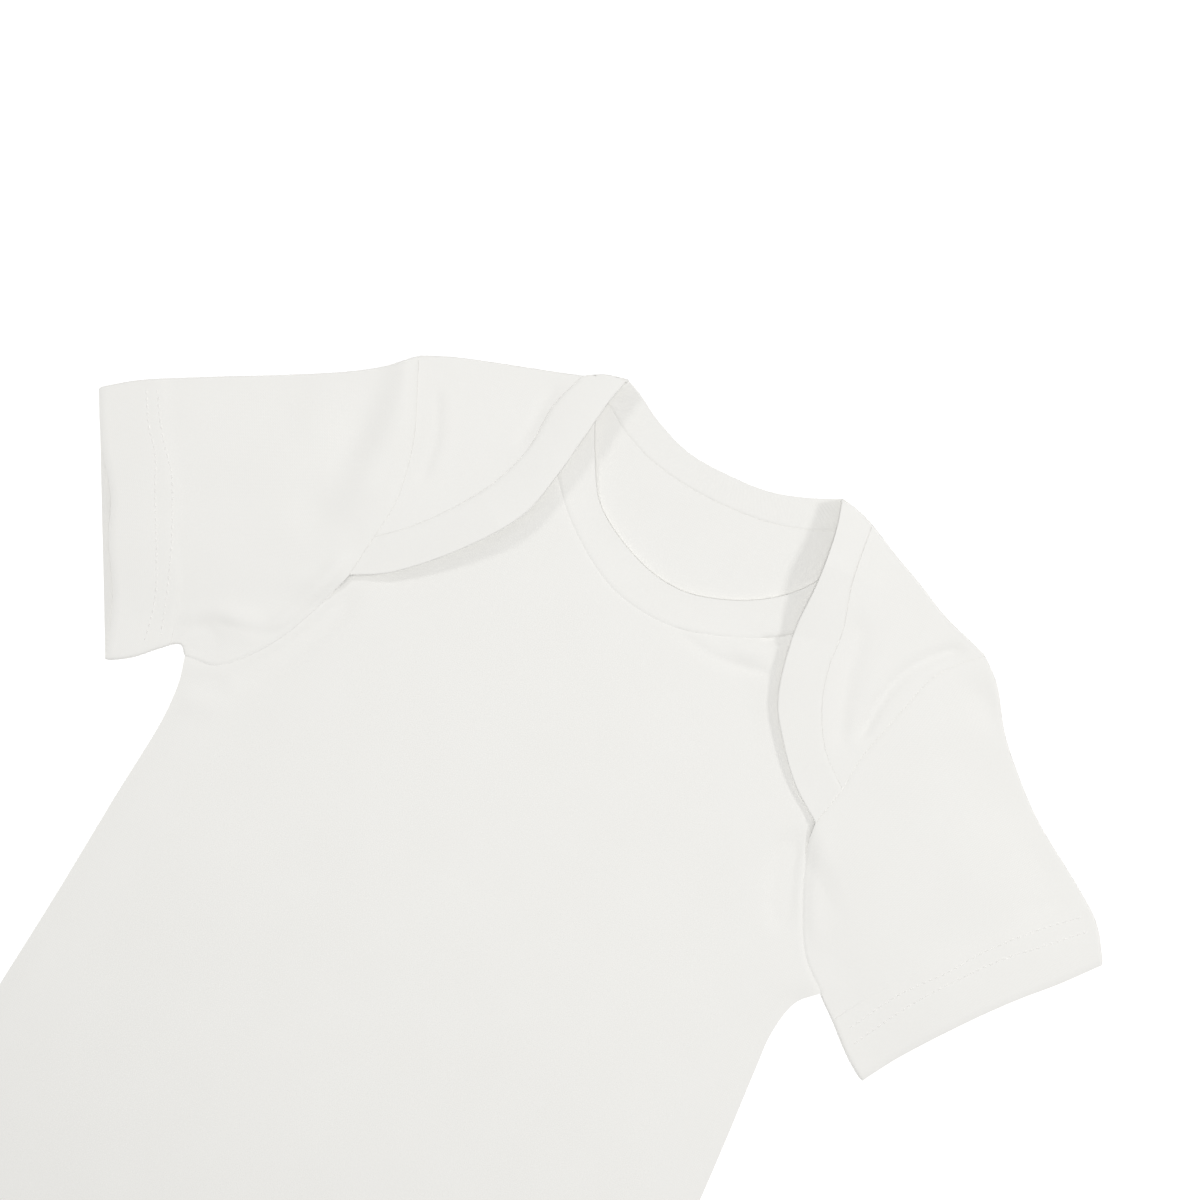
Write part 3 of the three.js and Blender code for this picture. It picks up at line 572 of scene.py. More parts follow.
def bend(edges, inwards, lower, upper, thick, steps=BEND_STEPS):
    """Rows of a round fold along an edge, from the lower layer's point to the upper one's."""
    lower_z = lower(edges) + thick / 2
    upper_z = upper(edges) + thick / 2
    radius = (upper_z - lower_z) / 2
    reach = np.minimum(radius, PRESSED_FOLD)
    centre = edges + inwards * (reach + thick / 2)[:, None]
    angle = math.pi * np.arange(steps + 1)[:, None] / steps
    flat = centre - inwards * (reach * np.sin(angle))[..., None]
    high = lower_z + radius * (1 - np.cos(angle))
    return np.concatenate([flat, high[..., None]], axis=-1)


def finer(count, places):
    """Positions of a grid's lines with extra lines close to some, each given with a direction."""
    extra = [start + way * gap for start, way in places for gap in FINE_GAPS]
    return np.array(sorted([*range(count), *extra]))


def lines_at(values, at, axis):
    values = np.moveaxis(np.asarray(values, float), axis, 0)
    low = np.clip(np.floor(at).astype(int), 0, len(values) - 2)
    share = (at - low).reshape(-1, *[1] * (values.ndim - 1))
    return np.moveaxis(values[low] * (1 - share) + values[low + 1] * share, 0, axis)


# Points that agree in so many decimals of a mm are one point
MERGE_DIGITS = 3
SHARP_ANGLE = math.radians(50)


class Cloth:
    """A thin shell round a middle surface, which is put together from grids of points."""

    def __init__(self):
        self.points, self.faces, self.cover, self.lining, self.uv = [], [], [], [], []
        self.count = 0

    def add(self, grid, thick, uv=None, dip=0.0, flip=False, seams=None, stitched=(),
            fine=((), ())):
        """Adds a grid; dip is how far its outer side is pulled in, beside seams and stitches."""
        thick = np.broadcast_to(np.asarray(thick, float), grid.shape[:2])
        uv = grid[..., :2] if uv is None else uv
        for axis in (0, 1):
            at = finer(grid.shape[axis], fine[axis])
            grid, thick, uv = (lines_at(values, at, axis) for values in (grid, thick, uv))
        if seams:
            dip = dip + ditch(grid[..., :2], seams, stitched)
        rows, columns = grid.shape[:2]
        number = np.arange(rows * columns).reshape(rows, columns) + self.count
        half = thick / 2
        self.points.append(grid.reshape(-1, 3))
        self.cover.append((half - dip).ravel())
        self.lining.append(half.ravel())
        self.uv.append(uv.reshape(-1, 2))
        corners = [number[:-1, :-1], number[:-1, 1:], number[1:, 1:], number[1:, :-1]]
        if flip:
            corners.reverse()
        self.faces.append(np.stack(corners, axis=-1).reshape(-1, 4))
        self.count += rows * columns

    def build(self, name, material, node):
        points, faces, uv = np.vstack(self.points), np.vstack(self.faces), np.vstack(self.uv)
        cover, lining = np.concatenate(self.cover), np.concatenate(self.lining)
        _, first, same = np.unique(np.round(points, MERGE_DIGITS), axis=0, return_index=True,
                                   return_inverse=True)
        corner_uv = uv[faces]
        faces = same.ravel()[faces]
        points, cover, lining = points[first], cover[first], lining[first]

        normal = np.zeros_like(points)
        a, b, c, d = (points[faces[:, i]] for i in range(4))
        facing = np.cross(c - a, d - b)
        for i in range(4):
            np.add.at(normal, faces[:, i], facing)
        normal /= np.maximum(np.linalg.norm(normal, axis=1, keepdims=True), 1e-9)

        outer = points + normal * cover[:, None]
        inner = points - normal * lining[:, None]
        total = len(points)
        edges = {}
        for index, face in enumerate(faces):
            for i in range(4):
                start, end = face[i], face[(i + 1) % 4]
                if edges.pop((end, start), None) is None:
                    edges[start, end] = (index, i)
        rim, rim_uv = [], []
        for (start, end), (index, i) in edges.items():
            rim.append((end, start, start + total, end + total))
            one, two = corner_uv[index, i], corner_uv[index, (i + 1) % 4]
            rim_uv.append((two, one, one, two))
        all_faces = np.vstack([faces, faces[:, ::-1] + total, np.array(rim)])
        all_uv = np.concatenate([corner_uv, corner_uv[:, ::-1], np.array(rim_uv)])
        # Faces that use a point twice are left out
        whole = np.array([len(set(face)) == len(face) for face in all_faces])
        place = row_frame(np.vstack([outer, inner]))
        piece = add_piece(name, place.tolist(), all_faces[whole].tolist(), material, node)
        layer = piece.data.uv_layers.new(name="cloth")
        layer.data.foreach_set("uv", (all_uv[whole] * MM).ravel())
        piece.data.set_sharp_from_angle(angle=SHARP_ANGLE)
        return piece


def row_frame(points):
    """Points given in mm, y from the shoulders, in the row frame in metres."""
    place = np.array(points) * MM
    place[..., 1] += BODY_CENTRE_BELOW_SHOULDERS * MM
    return place


def add_object(name, data):
    item = bpy.data.objects.new(name, data)
    bpy.context.scene.collection.objects.link(item)
    return item


def add_piece(name, points, faces, material, node=None):
    """A smooth piece of the part; the node is the one that it stands for."""
    mesh = bpy.data.meshes.new(name)
    mesh.from_pydata(points, [], faces)
    mesh.shade_smooth()
    mesh.materials.append(material)
    piece = add_object(name, mesh)
    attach(piece, "root")
    if node:
        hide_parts(node)
    return piece


# Materials

class Nodes:
    """Short calls for the nodes of one new material."""

    def __init__(self, name):
        self.material = bpy.data.materials.new(name)
        self.material.use_nodes = True
        self.tree = self.material.node_tree

    def fill(self, node, sockets):
        for key, value in sockets.items():
            if hasattr(value, "links"):
                self.tree.links.new(value, node.inputs[key])
            else:
                node.inputs[key].default_value = value

    def put(self, kind, output, sockets, **values):
        """Adds a node and gives one of its outputs."""
        node = self.tree.nodes.new("ShaderNode" + kind)
        for key, value in values.items():
            setattr(node, key, value)
        self.fill(node, sockets)
        return node.outputs[output]

    def math(self, kind, a, b=0.0):
        return self.put("Math", 0, {0: a, 1: b}, operation=kind)

    def place(self):
        return self.put("TexCoord", "Object", {})

    def noise(self, vector, scale, detail):
        return self.put("TexNoise", "Fac", {"Vector": vector, "Scale": scale, "Detail": detail})

    def mix(self, share, colours):
        return self.put("Mix", "Result", {"Factor": share, "A": colours[0], "B": colours[1]},
                        data_type="RGBA")

    def ramp(self, value, low, high):
        return self.put("MapRange", "Result", {"Value": value, "From Min": low, "From Max": high})

    def bump(self, height, strength, distance, **below):
        return self.put("Bump", "Normal", {"Height": height, "Strength": strength,
                                           "Distance": distance, **below})

    def shade(self, sockets):
        self.fill(self.tree.nodes["Principled BSDF"], sockets)
        return self.material


# Colours, each with a slightly darker one that it is mixed with
CLOTH_COLOURS = ((0.845, 0.838, 0.812, 1), (0.825, 0.817, 0.789, 1))
# The thread is painted lighter than the cloth: a painted highlight that offsets the shade on its round
# stitches
THREAD_COLOURS_PAINTED_LIGHT = ((0.93, 0.92, 0.895, 1), (0.89, 0.88, 0.85, 1))
ENAMEL_COLOURS = ((0.80, 0.79, 0.76, 1), (0.74, 0.73, 0.70, 1))

# Knit: width and height of a loop in metres, slant of its legs, and its relief and fluff
WALE = 0.00080
COURSE = 0.00062
LOOP_SLANT = 1.3
LOOP_SHARE = 0.3
LOOP_RELIEF = (0.25, 0.00005)
FLUFF_RELIEF = (0.15, 0.00004)

# Noise of the materials: scale and detail
CLOUDS = (55.0, 3.0)
FLUFF = (1900.0, 2.0)
TWIST = (2600.0, 1.0)
ENAMEL_CLOUDS = (240.0, 3.0)


def knit(name, wale):
    """Fine knit: columns of V-shaped loops, with slight unevenness of colour and roughness."""
    nodes = Nodes(name)
    uv = nodes.put("UVMap", "UV", {}, uv_map="cloth")
    across, lengthwise = (nodes.math("DIVIDE", nodes.put("SeparateXYZ", axis, {0: uv}), size)
                          for axis, size in (("X", wale), ("Y", COURSE)))
    column = nodes.math("ABSOLUTE", nodes.math("SUBTRACT", nodes.math("FRACT", across), 0.5))
    slanted = nodes.math("ADD", lengthwise, nodes.math("MULTIPLY", column, LOOP_SLANT))
    loops, ridge = (nodes.math("SINE", nodes.math("MULTIPLY", value, math.tau))
                    for value in (slanted, column))
    height = nodes.math("ADD", nodes.math("MULTIPLY", loops, LOOP_SHARE), ridge)
    place = nodes.place()
    fluff = nodes.noise(place, *FLUFF)
    uneven = nodes.math("MULTIPLY", nodes.math("ADD", nodes.noise(place, *CLOUDS), fluff), 0.5)
    return nodes.shade({
        "Base Color": nodes.mix(nodes.ramp(uneven, 0.25, 0.85), CLOTH_COLOURS),
        "Roughness": nodes.ramp(fluff, -6.0, 1.3),
        "Sheen Weight": 0.12,
        "Sheen Roughness": 0.5,
        "Specular IOR Level": 0.2,
        "Normal": nodes.bump(height, *LOOP_RELIEF, Normal=nodes.bump(fluff, *FLUFF_RELIEF)),
    })


def thread_material():
    nodes = Nodes("thread")
    twist = nodes.noise(nodes.place(), *TWIST)
    # Thread colour painted lighter than the cloth, a painted highlight against the shade on the stitches
    return nodes.shade({"Base Color": nodes.mix(twist, THREAD_COLOURS_PAINTED_LIGHT), "Roughness": 0.6,
                        "Normal": nodes.bump(twist, 0.3, 0.00003)})


def enamel_material():
    nodes = Nodes("enamel")
    clouds = nodes.noise(nodes.place(), *ENAMEL_CLOUDS)
    return nodes.shade({"Base Color": nodes.mix(clouds, ENAMEL_COLOURS),
                        "Roughness": nodes.ramp(clouds, -1.0, 2.6), "Coat Weight": 0.3,
                        "Normal": nodes.bump(clouds, 0.1, 0.00002)})


jersey = knit("jersey_knit", WALE)
ribbed = knit("rib_knit", RIB_PITCH * MM / 2)
thread = thread_material()
enamel = enamel_material()


# Body panels

def panel_side(seams, leg, armhole):
    return joined(leg["seam"][::-1], seams["side"][::-1], armhole[::-1])


def crotch_line(y, neck_steps):
    half = LEG_BACK[-1][2]
    count = 2 * SHOULDER_STEPS + neck_steps + 1
    x = np.linspace(BODY_MIDDLE - half, BODY_MIDDLE + half, count)
    return np.column_stack([x, np.full(count, y)])


def binding_inward(seams):
    run = unit(seams["binding"][-1] - seams["binding"][0])
    inward = np.array([run[1], -run[0]])
    return -inward if inward[1] > 0 else inward


def blended(first, last):
    """Vectors from the first to the last, one for each point of a shoulder."""
    share = np.linspace(0, 1, SHOULDER_STEPS + 1)[:, None]
    return first * (1 - share) + last * share


def shoulder_inwards(seams):
    blend = blended(unit(seams["armhole_top"][1] - seams["armhole_top"][0]), binding_inward(seams))
    return blend / np.linalg.norm(blend, axis=1, keepdims=True)


def lap_grid(seams):
    seam = stretch(seams["lap_seam"], 0, 1, LAP_STEPS + 1)
    end = stretch(seam[[LAP_STEPS + 1, LAP_STEPS]], 0, 1, SHOULDER_STEPS)
    return spanned(seams["shoulder"], end, seams["armhole_top"], seam[:LAP_STEPS + 1])


def edge_columns(neck_steps):
    """Columns of a panel with finer ones beside them: its sides and the neck's two ends."""
    last = 2 * SHOULDER_STEPS + neck_steps
    return [(0, 1), (SHOULDER_STEPS, -1), (last - SHOULDER_STEPS, 1), (last, -1)]


UPWARDS = np.array([0.0, 1.0])
STRAP_COLUMNS = ((0, 1), (SHOULDER_STEPS, -1))


def back_panel():
    cloth = Cloth()
    top = joined(left["shoulder"], along(NECK["back_seam"], NECK_STEPS), right["shoulder"][::-1])
    line = crotch_line(LEG_BACK[-1][1], NECK_STEPS)
    grid = spanned(line, top, panel_side(left, legs["left"]["back"], left["armhole"]),
                   panel_side(right, legs["right"]["back"], right["armhole"]), PANEL_FADE)
    body = lay(grid, back_height, JERSEY)
    for seams, flip in ((left, False), (right, True)):
        rows = bend(seams["shoulder"], shoulder_inwards(seams), back_height, lap_height, JERSEY)
        lap = lay(lap_grid(seams), lap_height, JERSEY)
        lap[0] = rows[-1]
        cloth.add(np.vstack([rows, lap[1:]]), JERSEY, flip=flip, seams="lap",
                  fine=((), STRAP_COLUMNS))
        if flip:
            body[-1, -SHOULDER_STEPS - 1:] = rows[0][::-1]
        else:
            body[-1, :SHOULDER_STEPS + 1] = rows[0]
    crotch = bend(line, UPWARDS, back_height, tab_height, JERSEY)
    body[0] = crotch[0]
    tab = between(line, crotch_line(TAB_TOP, NECK_STEPS), np.linspace(0, 1, TAB_STEPS + 1))
    tab = lay(tab, tab_height, JERSEY)
    tab[0] = crotch[-1]
    columns = edge_columns(NECK_STEPS)
    cloth.add(np.vstack([crotch, tab[1:]]), JERSEY, fine=((), columns))
    cloth.add(body, JERSEY, flip=True, seams="back", fine=([(len(body) - 1, -1)], columns))
    return cloth.build("cloth_back", jersey, "back_panel")


def strap_grid(seams, neck_side):
    armhole = cut_back(seams["armhole"], FRONT_TOP_INSET, 0)[:STRAP_STEPS + 1]
    shoulder = seams["shoulder"]
    base = stretch(np.array([armhole[-1], neck_side[-1]]), 0, 1, SHOULDER_STEPS)
    top = shoulder + blended(armhole[0] - shoulder[0], neck_side[0] - shoulder[-1])
    return spanned(base, top, armhole[::-1], neck_side[::-1])


def front_panel():
    cloth = Cloth()
    left_strap = strap_grid(left, front_seam[:STRAP_STEPS + 1])
    right_strap = strap_grid(right, front_seam[::-1][:STRAP_STEPS + 1])
    top = joined(left_strap[0], front_seam[STRAP_STEPS:-STRAP_STEPS], right_strap[0][::-1])
    grid = spanned(crotch_line(LEG_FRONT[-1][1], NECK_FRONT_STEPS), top,
                   panel_side(left, legs["left"]["front"], left["armhole"][STRAP_STEPS:]),
                   panel_side(right, legs["right"]["front"], right["armhole"][STRAP_STEPS:]),
                   PANEL_FADE)
    for part, flip, fine in ((grid, False, ([(len(grid) - 1, -1)], edge_columns(NECK_FRONT_STEPS))),
                             (left_strap, False, ((), STRAP_COLUMNS)),
                             (right_strap, True, ((), STRAP_COLUMNS))):
        cloth.add(lay(part, front_height, JERSEY), JERSEY, flip=flip, seams="front", fine=fine)
    return cloth.build("cloth_front", jersey, "front_panel")


# Bindings

def rounding():
    """Thickness share across a binding: round at the rolled edge, drawn in at the seam."""
    marks = np.array(BINDING_LINES)
    from_edge = np.clip((1 - marks) * RIB_WIDTH / ROLLED_EDGE, 0, 1)
    from_seam = np.clip(marks * RIB_WIDTH / SEAM_SLOPE, 0, 1)
    at_edge = ROLLED_EDGE_SHARE + (1 - ROLLED_EDGE_SHARE) * np.sqrt(1 - (1 - from_edge) ** 2)
    at_seam = (JERSEY - SEAM_DITCH) / RIB * 2 - 1
    return at_edge * (at_seam + (1 - at_seam) * np.sin(from_seam * math.pi / 2))


def binding_strip(seam_rows, edge_rows, height, steps):
    """Stations along a binding from its seam line to its free edge: shape (stations, lines, 3)."""
    seam = stretch(seam_rows, 0, 1, steps)
    edge = stretch(edge_rows, 0, 1, steps)
    grid = between(seam, edge, BINDING_LINES).transpose(1, 0, 2)
    return lay(grid, height, RIB)


def rib_steps(line):
    return int(round(lengths(line)[-1] / RIB_PITCH)) * RIB_PARTS


def cloth_uv(u, v):
    return np.stack(np.broadcast_arrays(u, v), axis=-1)


def finish_strip(name, rows, node, flip=False):
    """A rib strip as one cloth, with its ribs across it."""
    run = lengths(rows[:, len(BINDING_LINES) // 2])
    across = np.array(BINDING_LINES) * RIB_WIDTH
    ribs = RIB_HIGH * (np.cos(math.tau * run / RIB_PITCH)[:, None] - 1)
    dip = ditch(rows[..., :2], "sleeve") - ribs * smooth_step(0, RIB_FADE, across)
    cloth = Cloth()
    cloth.add(rows, RIB * rounding(), cloth_uv(run[:, None], across[None]), dip, flip)
    return cloth.build(name, ribbed, node)


def back_neck_binding():
    halves = []
    for seams in (left, right):
        folded = bend(seams["binding"], binding_inward(seams), back_height, lap_height, RIB,
                      NECK_BEND_STEPS)
        steps = rib_steps(seams["lap_edge"])
        lap = binding_strip(seams["lap_seam"], seams["lap_edge"], lap_height, steps)
        lap[0] = folded[-1]
        halves.append(np.vstack([folded, lap[1:]]))
    seam, edge = smooth(NECK["back_seam"]), smooth(NECK["back_edge"])
    neck = binding_strip(seam, edge, back_height, rib_steps(edge))
    rows = np.vstack([halves[0][::-1], neck[1:-1], halves[1]])
    return finish_strip("rib_neck_back", rows, "back_neck_binding", True)


def front_neck_binding():
    rows = binding_strip(front_seam, front_edge, front_height, rib_steps(front_edge))
    return finish_strip("rib_neck_front", rows, "front_neck_binding")


def leg_binding(side):
    leg = legs[side]
    front, back = (binding_strip(leg[panel]["seam"], leg[panel]["edge"], height,
                                 rib_steps(leg[panel]["edge"]))
                   for panel, height in (("front", front_height), ("back", back_height)))
    along_seams = unit(sum(unit(leg[panel]["seam"][1] - leg[panel]["seam"][0])
                           for panel in ("back", "front")))
    side_bend = bend(back[0, :, :2], along_seams, back_height, front_height, RIB, LEG_BEND_STEPS)
    crotch_fold = back[-1, :, :2]
    crotch = bend(crotch_fold, UPWARDS, back_height, tab_height, RIB, LEG_BEND_STEPS)
    tab_end = crotch_fold.copy()
    tab_end[:, 1] = TAB_TOP
    tab = between(crotch_fold, tab_end, np.linspace(0, 1, TAB_BINDING_STEPS + 1))
    rows = np.vstack([front[:0:-1], side_bend[::-1], back[1:-1], crotch,
                      lay(tab, tab_height, RIB)[1:]])
    return finish_strip(f"rib_leg_{side}", rows, f"leg_binding_{side}", side == "right")


# Sleeves

def split_curve(rows, length, before, after):
    curve = smooth(rows)
    turn = 1 - length / lengths(curve)[-1]
    return stretch(curve, 0, turn, before), stretch(curve, turn, 1, after)


def sleeve_grid(table, seams, hem_rows):
    steps = LAP_STEPS + LAP_END_STEPS + ARMHOLE_LOW_STEPS
    top, top_hem = split_curve(table["sleeve_top"], HEM_DEPTH, SLEEVE_STEPS, HEM_STEPS)
    under, under_hem = split_curve(table["sleeve_under"], HEM_DEPTH, SLEEVE_STEPS, HEM_STEPS)
    hem = along(hem_rows, steps)[::-1]
    chord = unit(hem[-1] - hem[0])
    inward = np.array([-chord[1], chord[0]])
    if inward @ (under_hem[0] - hem[0]) < 0:
        inward = -inward
    turn = hem + inward * HEM_DEPTH
    share = np.linspace(0, 1, steps + 1)[:, None]
    turn = turn + ((under_hem[0] - turn[0]) * (1 - share) ** HEM_CORNER_PULL
                   + (top_hem[0] - turn[-1]) * share ** HEM_CORNER_PULL)
    turn[0], turn[-1] = under_hem[0], top_hem[0]
    body = spanned(seams["armhole"][::-1], turn, under, top)
    hem_part = spanned(turn, hem, under_hem, top_hem)
    return np.vstack([body, hem_part[1:]])


def sleeve_lift(rows, columns):
    """Lift of the upper layer beside the thick stack of lap and front; it fades to the hem."""
    lap_tip = LAP_STEPS + LAP_END_STEPS
    from_shoulder = lap_tip + ARMHOLE_LOW_STEPS - np.arange(columns)
    beside = 1 - smooth_step(lap_tip, lap_tip + LIFT_FADE, from_shoulder)
    near = 1 - smooth_step(0, SHOULDER_FADE, np.arange(rows) / SLEEVE_STEPS)
    return (LAP_FLOOR - FRONT_FLOOR) * near[:, None] * beside[None]


def drawn_in(rows, starts, ends):
    """Points along each row moved in from its ends, to leave room for the round folds there."""
    result = np.empty_like(rows)
    for i, row in enumerate(rows):
        run = lengths(row)
        share = run / run[-1]
        result[i] = at_lengths(row, starts[i] + share * (run[-1] - starts[i] - ends[i]))
    return result


def sleeve(side, table, seams):
    lower = sleeve_grid(table, seams, table["hem"])
    upper = sleeve_grid(table, seams, table.get("hem_upper", table["hem"]))
    count, columns = lower.shape[:2]
    in_hem = smooth_step(-HEM_FADE, HEM_FADE, np.arange(count) - SLEEVE_STEPS)
    thick = JERSEY + (HEM - JERSEY) * in_hem
    floor = (FRONT_FLOOR + (HEM_FLOOR - FRONT_FLOOR) * in_hem)[:, None]
    floor = floor + sleeve_lift(count, columns)

    def upper_middle(points):
        own = folds(points, SLEEVE_FOLDS) * clear_of_armholes(points)
        height = kept_over(floor + rise(points) + own, JERSEY + LAYER_CLEARANCE)
        return height + thick[:, None] / 2

    radius = (upper_middle(upper)[:, [0, -1]] - thick[:, None] / 2) / 2
    room = np.minimum(radius, PRESSED_FOLD) + thick[:, None] / 2
    low = drawn_in(lower, room[:, 0], room[:, 1])
    high = drawn_in(upper, room[:, 0], room[:, 1])
    low = np.concatenate([low, np.broadcast_to(thick[:, None, None] / 2, low[..., :1].shape)], -1)
    high = np.concatenate([high, upper_middle(high)[..., None]], -1)
    angle = np.linspace(0, math.pi, BEND_STEPS + 1)[1:-1, None]
    rings = []
    for row in range(count):
        turns = []
        for end, step in ((columns - 1, -1), (0, 1)):
            outward = unit(lower[row, end] - lower[row, end + step])
            share = (1 - np.cos(angle)) / 2
            middle = low[row, end] * (1 - share) + high[row, end] * share
            reach = min((high[row, end, 2] - low[row, end, 2]) / 2, PRESSED_FOLD)
            middle[:, :2] += outward * reach * np.sin(angle)
            turns.append(middle)
        rings.append(np.vstack([low[row], turns[0], high[row, ::-1], turns[1][::-1], low[row, :1]]))
    ring = np.array(rings)
    edge_gap = np.linalg.norm(ring - ring[-1:], axis=-1)
    round_end = np.sqrt(np.clip(1 - (1 - np.clip(edge_gap / CUT_EDGE, 0, 1)) ** 2, 0, 1))
    per_ring = thick[:, None] * (CUT_EDGE_SHARE + (1 - CUT_EDGE_SHARE) * round_end)
    girth = lengths(ring[SLEEVE_STEPS // 2])
    down = lengths(ring[:, columns // 2])
    near_rows = [(0, 1), (SLEEVE_STEPS, 1), (SLEEVE_STEPS, -1), (count - 1, -1)]
    cloth = Cloth()
    cloth.add(ring, per_ring, cloth_uv(girth[None], down[:, None]), 0, side == "left", "sleeve",
              HEM_ROWS[side], (near_rows, ()))
    return cloth.build(f"cloth_sleeve_{side}", jersey, f"sleeve_{side}")


# Stitches

# Sizes in mm; THREAD is the thread's radius
THREAD = 0.13
STITCH_PITCH = 2.1
STITCH_LENGTH = 1.45
STITCH_SIDES = 6
STITCH_PARTS = 24

# Metres over or under the floor from which the cloth's faces are looked for
RAY_START = 0.05

# Rings of a stitch: place along it from -1 to 1, height and size in thread radii
STITCH_RINGS = ((-1.0, -0.9, 0.55), (-0.72, 0.1, 0.95), (-0.25, 0.4, 1.0), (0.25, 0.4, 1.0),
                (0.72, 0.1, 0.95), (1.0, -0.9, 0.55))


def tube_faces(first, rings, sides):
    """Faces between rings of points that follow each other, from the first point's number on."""
    return [(a + i, a + (i + 1) % sides, a + sides + (i + 1) % sides, a + sides + i)
            for a in range(first, first + (rings - 1) * sides, sides) for i in range(sides)]


def stitches(name, cloth, rows, face):
    """Short thread pieces along rows, laid on the cloth's upper face (1) or under face (-1)."""
    mesh = cloth.data
    tree = BVHTree.FromPolygons([v.co for v in mesh.vertices], [p.vertices for p in mesh.polygons])
    down = Vector((0, 0, -face))
    points, faces = [], []
    for row in rows:
        line = smooth(row, STITCH_PARTS)
        total = lengths(line)[-1]
        count = int(total / STITCH_PITCH)
        for middle in (np.arange(count) + 0.5) * total / count:
            marks = middle + np.array([ring[0] for ring in STITCH_RINGS]) * STITCH_LENGTH / 2
            hits = [tree.ray_cast(Vector((x, y, face * RAY_START)), down)
                    for x, y in row_frame(at_lengths(line, marks))]
            if any(hit[0] is None for hit in hits):
                continue
            run = (hits[-1][0] - hits[0][0]).normalized()
            base = len(points)
            for (place, normal, _, _), (_, high, size) in zip(hits, STITCH_RINGS):
                up = normal if normal.dot(down) < 0 else -normal
                side = run.cross(up).normalized()
                centre = place + up * (high * THREAD * MM)
                for i in range(STITCH_SIDES):
                    angle = math.tau * i / STITCH_SIDES
                    points.append(centre + (side * math.cos(angle) + up * math.sin(angle))
                                  * (THREAD * size * MM))
            last = len(points) - STITCH_SIDES
            faces += tube_faces(base, len(STITCH_RINGS), STITCH_SIDES)
            faces.append(tuple(reversed(range(base, base + STITCH_SIDES))))
            faces.append(tuple(range(last, last + STITCH_SIDES)))
    return add_piece(name, points, faces, thread)


# Snaps

def turned(name, profile, centre, node):
    """A turned piece from a profile of radius and height in mm."""
    points = [(centre[0] + radius * math.cos(angle), centre[1] + radius * math.sin(angle),
               centre[2] + high)
              for radius, high in profile
              for angle in np.linspace(0, math.tau, SNAP_SIDES, endpoint=False)]
    faces = tube_faces(0, len(profile), SNAP_SIDES)
    piece = add_piece(name, row_frame(points).tolist(), faces, enamel, node)
    piece.data.set_sharp_from_angle(angle=SHARP_ANGLE)


CAP_PROFILE = [
    (0.02, 0), (4.6, 0), (5, 0.1), (5.2, 0.4), (5.15, 0.75), (4.9, 1.05), (4.5, 1.2),
    (4.1, 1.15), (3.9, 0.95), (3.75, 0.75), (3.4, 0.7), (2.6, 0.85), (1.4, 0.98), (0.02, 1.02),
]
STUD_PROFILE = [
    (0.02, 0), (3.8, 0), (4.1, 0.15), (4.2, 0.4), (4.1, 0.6), (3.6, 0.7), (2.6, 0.75),
    (2.3, 0.9), (2.2, 1.15), (2, 1.35), (1.5, 1.4), (0.02, 1.4),
]


def snaps():
    for index in range(SNAP_COUNT):
        x = BODY_MIDDLE + (index - (SNAP_COUNT - 1) / 2) * SNAP_PITCH
        above_tab = FRONT_FLOOR + JERSEY + SNAP_GAP
        in_flap = float(front_height(np.array([x, SNAP_Y]))) + JERSEY - SNAP_GAP
        for part, node, profile, z in (("lower", "stud", STUD_PROFILE, above_tab),
                                       ("upper", "cap", CAP_PROFILE, in_flap)):
            turned(f"snap_{part}_{index + 1}", profile, (x, SNAP_Y, z), f"snap_{node}_{index + 1}")


# Stage, in metres, but POOL_CENTRE, VIEW_CENTRE, VIEW_SPAN and SENSOR are in mm

FLOOR_SIZE = 4.0
FLOOR_DROP = 0.0003
WORLD_STRENGTH = 0.348
KEYS = {
    "key_right": ((1.03, 0.96, 0.87), 6.0),
    "key_left": ((-1.15, 0.75, 0.87), 3.6),
}
KEY_SIZE = 0.22
KEY_COLOUR = (1.0, 0.998, 0.99)
KEY_TARGET = Vector((0.0, 0.12, 0.0))
POOL_CENTRE = (30.0, -50.0)
POOL_HEIGHT = 1.6
POOL_RADIUS = 0.50
POOL_POWER = 22.0
POOL_SIZE = 0.1
TOP_STRENGTH = 0.84
TOP_ANGLE = math.radians(12)
TOP_TILT = math.radians(12)

VIEW_CENTRE = (-8.6, -39.7)
VIEW_TURN = 28.0
VIEW_SPAN = 360.0
CAMERA_HEIGHT = 1.8
SENSOR = 36.0


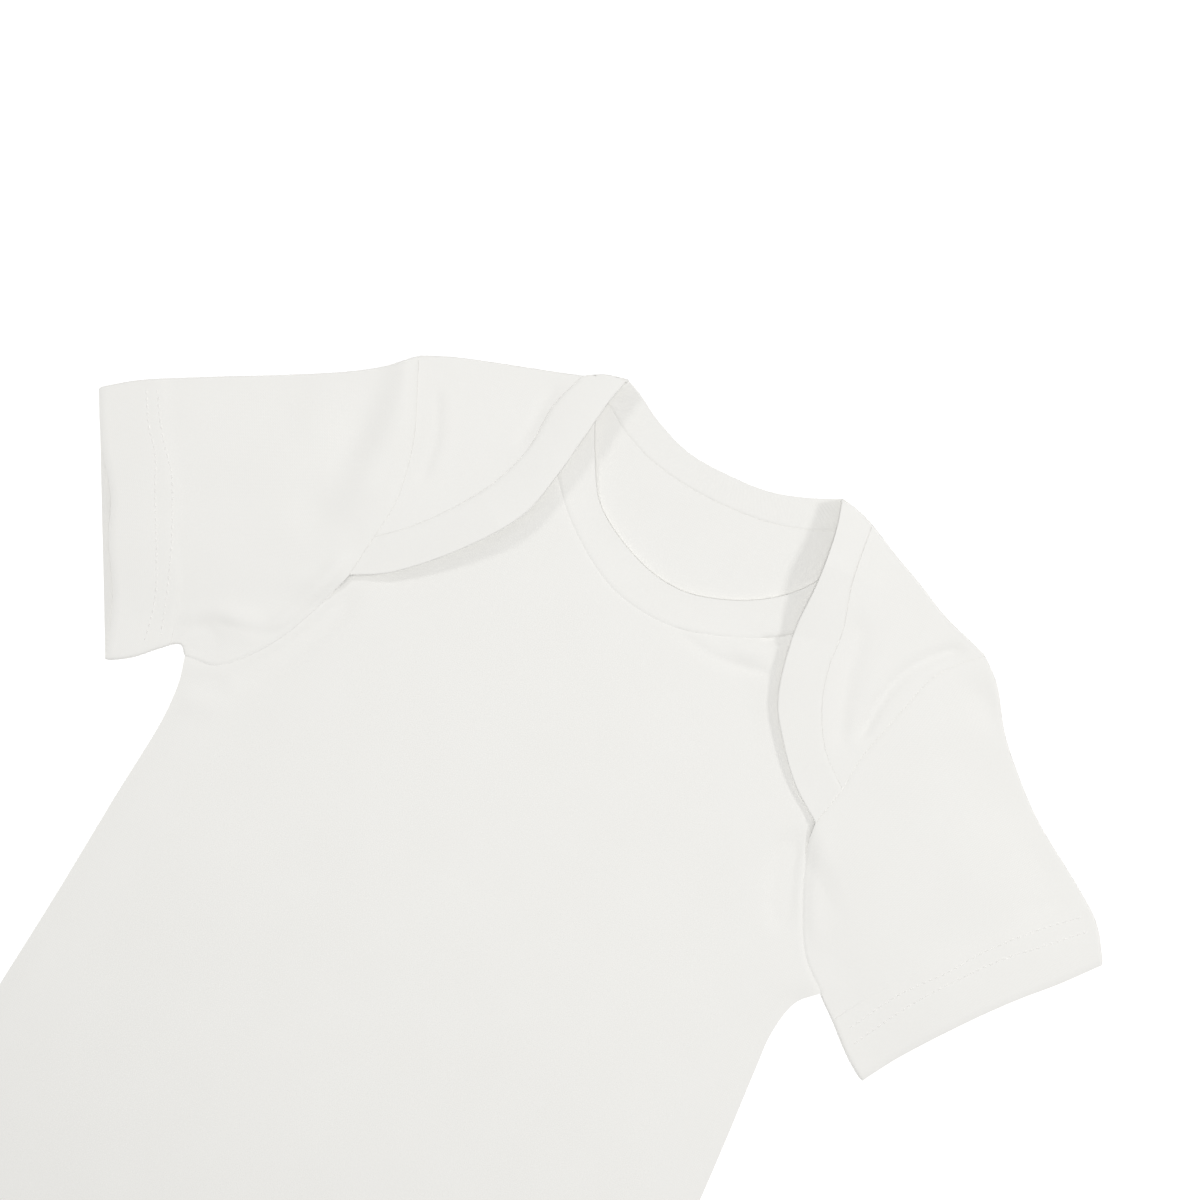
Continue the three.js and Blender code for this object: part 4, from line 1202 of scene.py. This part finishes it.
def make_floor():
    mesh = bpy.data.meshes.new("floor")
    corners = [(-1, -1), (1, -1), (1, 1), (-1, 1)]
    mesh.from_pydata([(x * FLOOR_SIZE, y * FLOOR_SIZE, 0) for x, y in corners], [], [(0, 1, 2, 3)])
    mesh.materials.append(Nodes("floor_white").shade({
        "Base Color": (0.9, 0.9, 0.9, 1), "Roughness": 0.9, "Specular IOR Level": 0.0,
        "Emission Color": (1, 1, 1, 1), "Emission Strength": 0.3,
    }))
    floor = add_object("floor", mesh)
    floor.location.z = -FLOOR_DROP


def make_camera():
    data = bpy.data.cameras.new("camera")
    data.sensor_width = SENSOR
    data.lens = SENSOR * CAMERA_HEIGHT / (VIEW_SPAN * MM)
    camera = add_object("camera", data)
    camera.location = (*row_frame(VIEW_CENTRE), CAMERA_HEIGHT)
    camera.rotation_euler = (0, 0, math.radians(VIEW_TURN))
    bpy.context.scene.camera = camera


def add_lamp(name, kind, power, place=(0, 0, 0), turn=(0, 0, 0)):
    data = bpy.data.lights.new(name, kind)
    data.energy = power
    lamp = add_object(name, data)
    lamp.location = place
    lamp.rotation_euler = turn
    return data


def light_up():
    world = bpy.data.worlds.new("studio")
    bpy.context.scene.world = world
    world.use_nodes = True
    background = world.node_tree.nodes["Background"].inputs
    background["Color"].default_value = (1, 1, 1, 1)
    background["Strength"].default_value = WORLD_STRENGTH
    for name, (place, power) in KEYS.items():
        towards = (KEY_TARGET - Vector(place)).to_track_quat("-Z", "Y")
        key = add_lamp(name, "AREA", power, place, towards.to_euler())
        key.shape = "DISK"
        key.size = KEY_SIZE
        key.color = KEY_COLOUR
    pool = add_lamp("pool", "SPOT", POOL_POWER, (*row_frame(POOL_CENTRE), POOL_HEIGHT))
    pool.shadow_soft_size = POOL_SIZE
    pool.spot_size = 2 * math.atan(POOL_RADIUS / POOL_HEIGHT)
    pool.spot_blend = 1.0
    top = add_lamp("top", "SUN", TOP_STRENGTH, turn=(TOP_TILT, 0, 0))
    top.angle = TOP_ANGLE
    bpy.context.scene.view_settings.view_transform = "Standard"


make_floor()
pieces = [back_panel(), front_panel(), back_neck_binding(), front_neck_binding(),
          sleeve("left", LEFT, left), sleeve("right", RIGHT, right),
          leg_binding("left"), leg_binding("right")]
for side, rows in HEM_ROWS.items():
    cloth = bpy.data.objects[f"cloth_sleeve_{side}"]
    [stitches(f"stitches_hem_{side}_{place}", cloth, rows, face)
                           for place, face in (("top", 1), ("under", -1))]
snaps()

make_camera()
light_up()
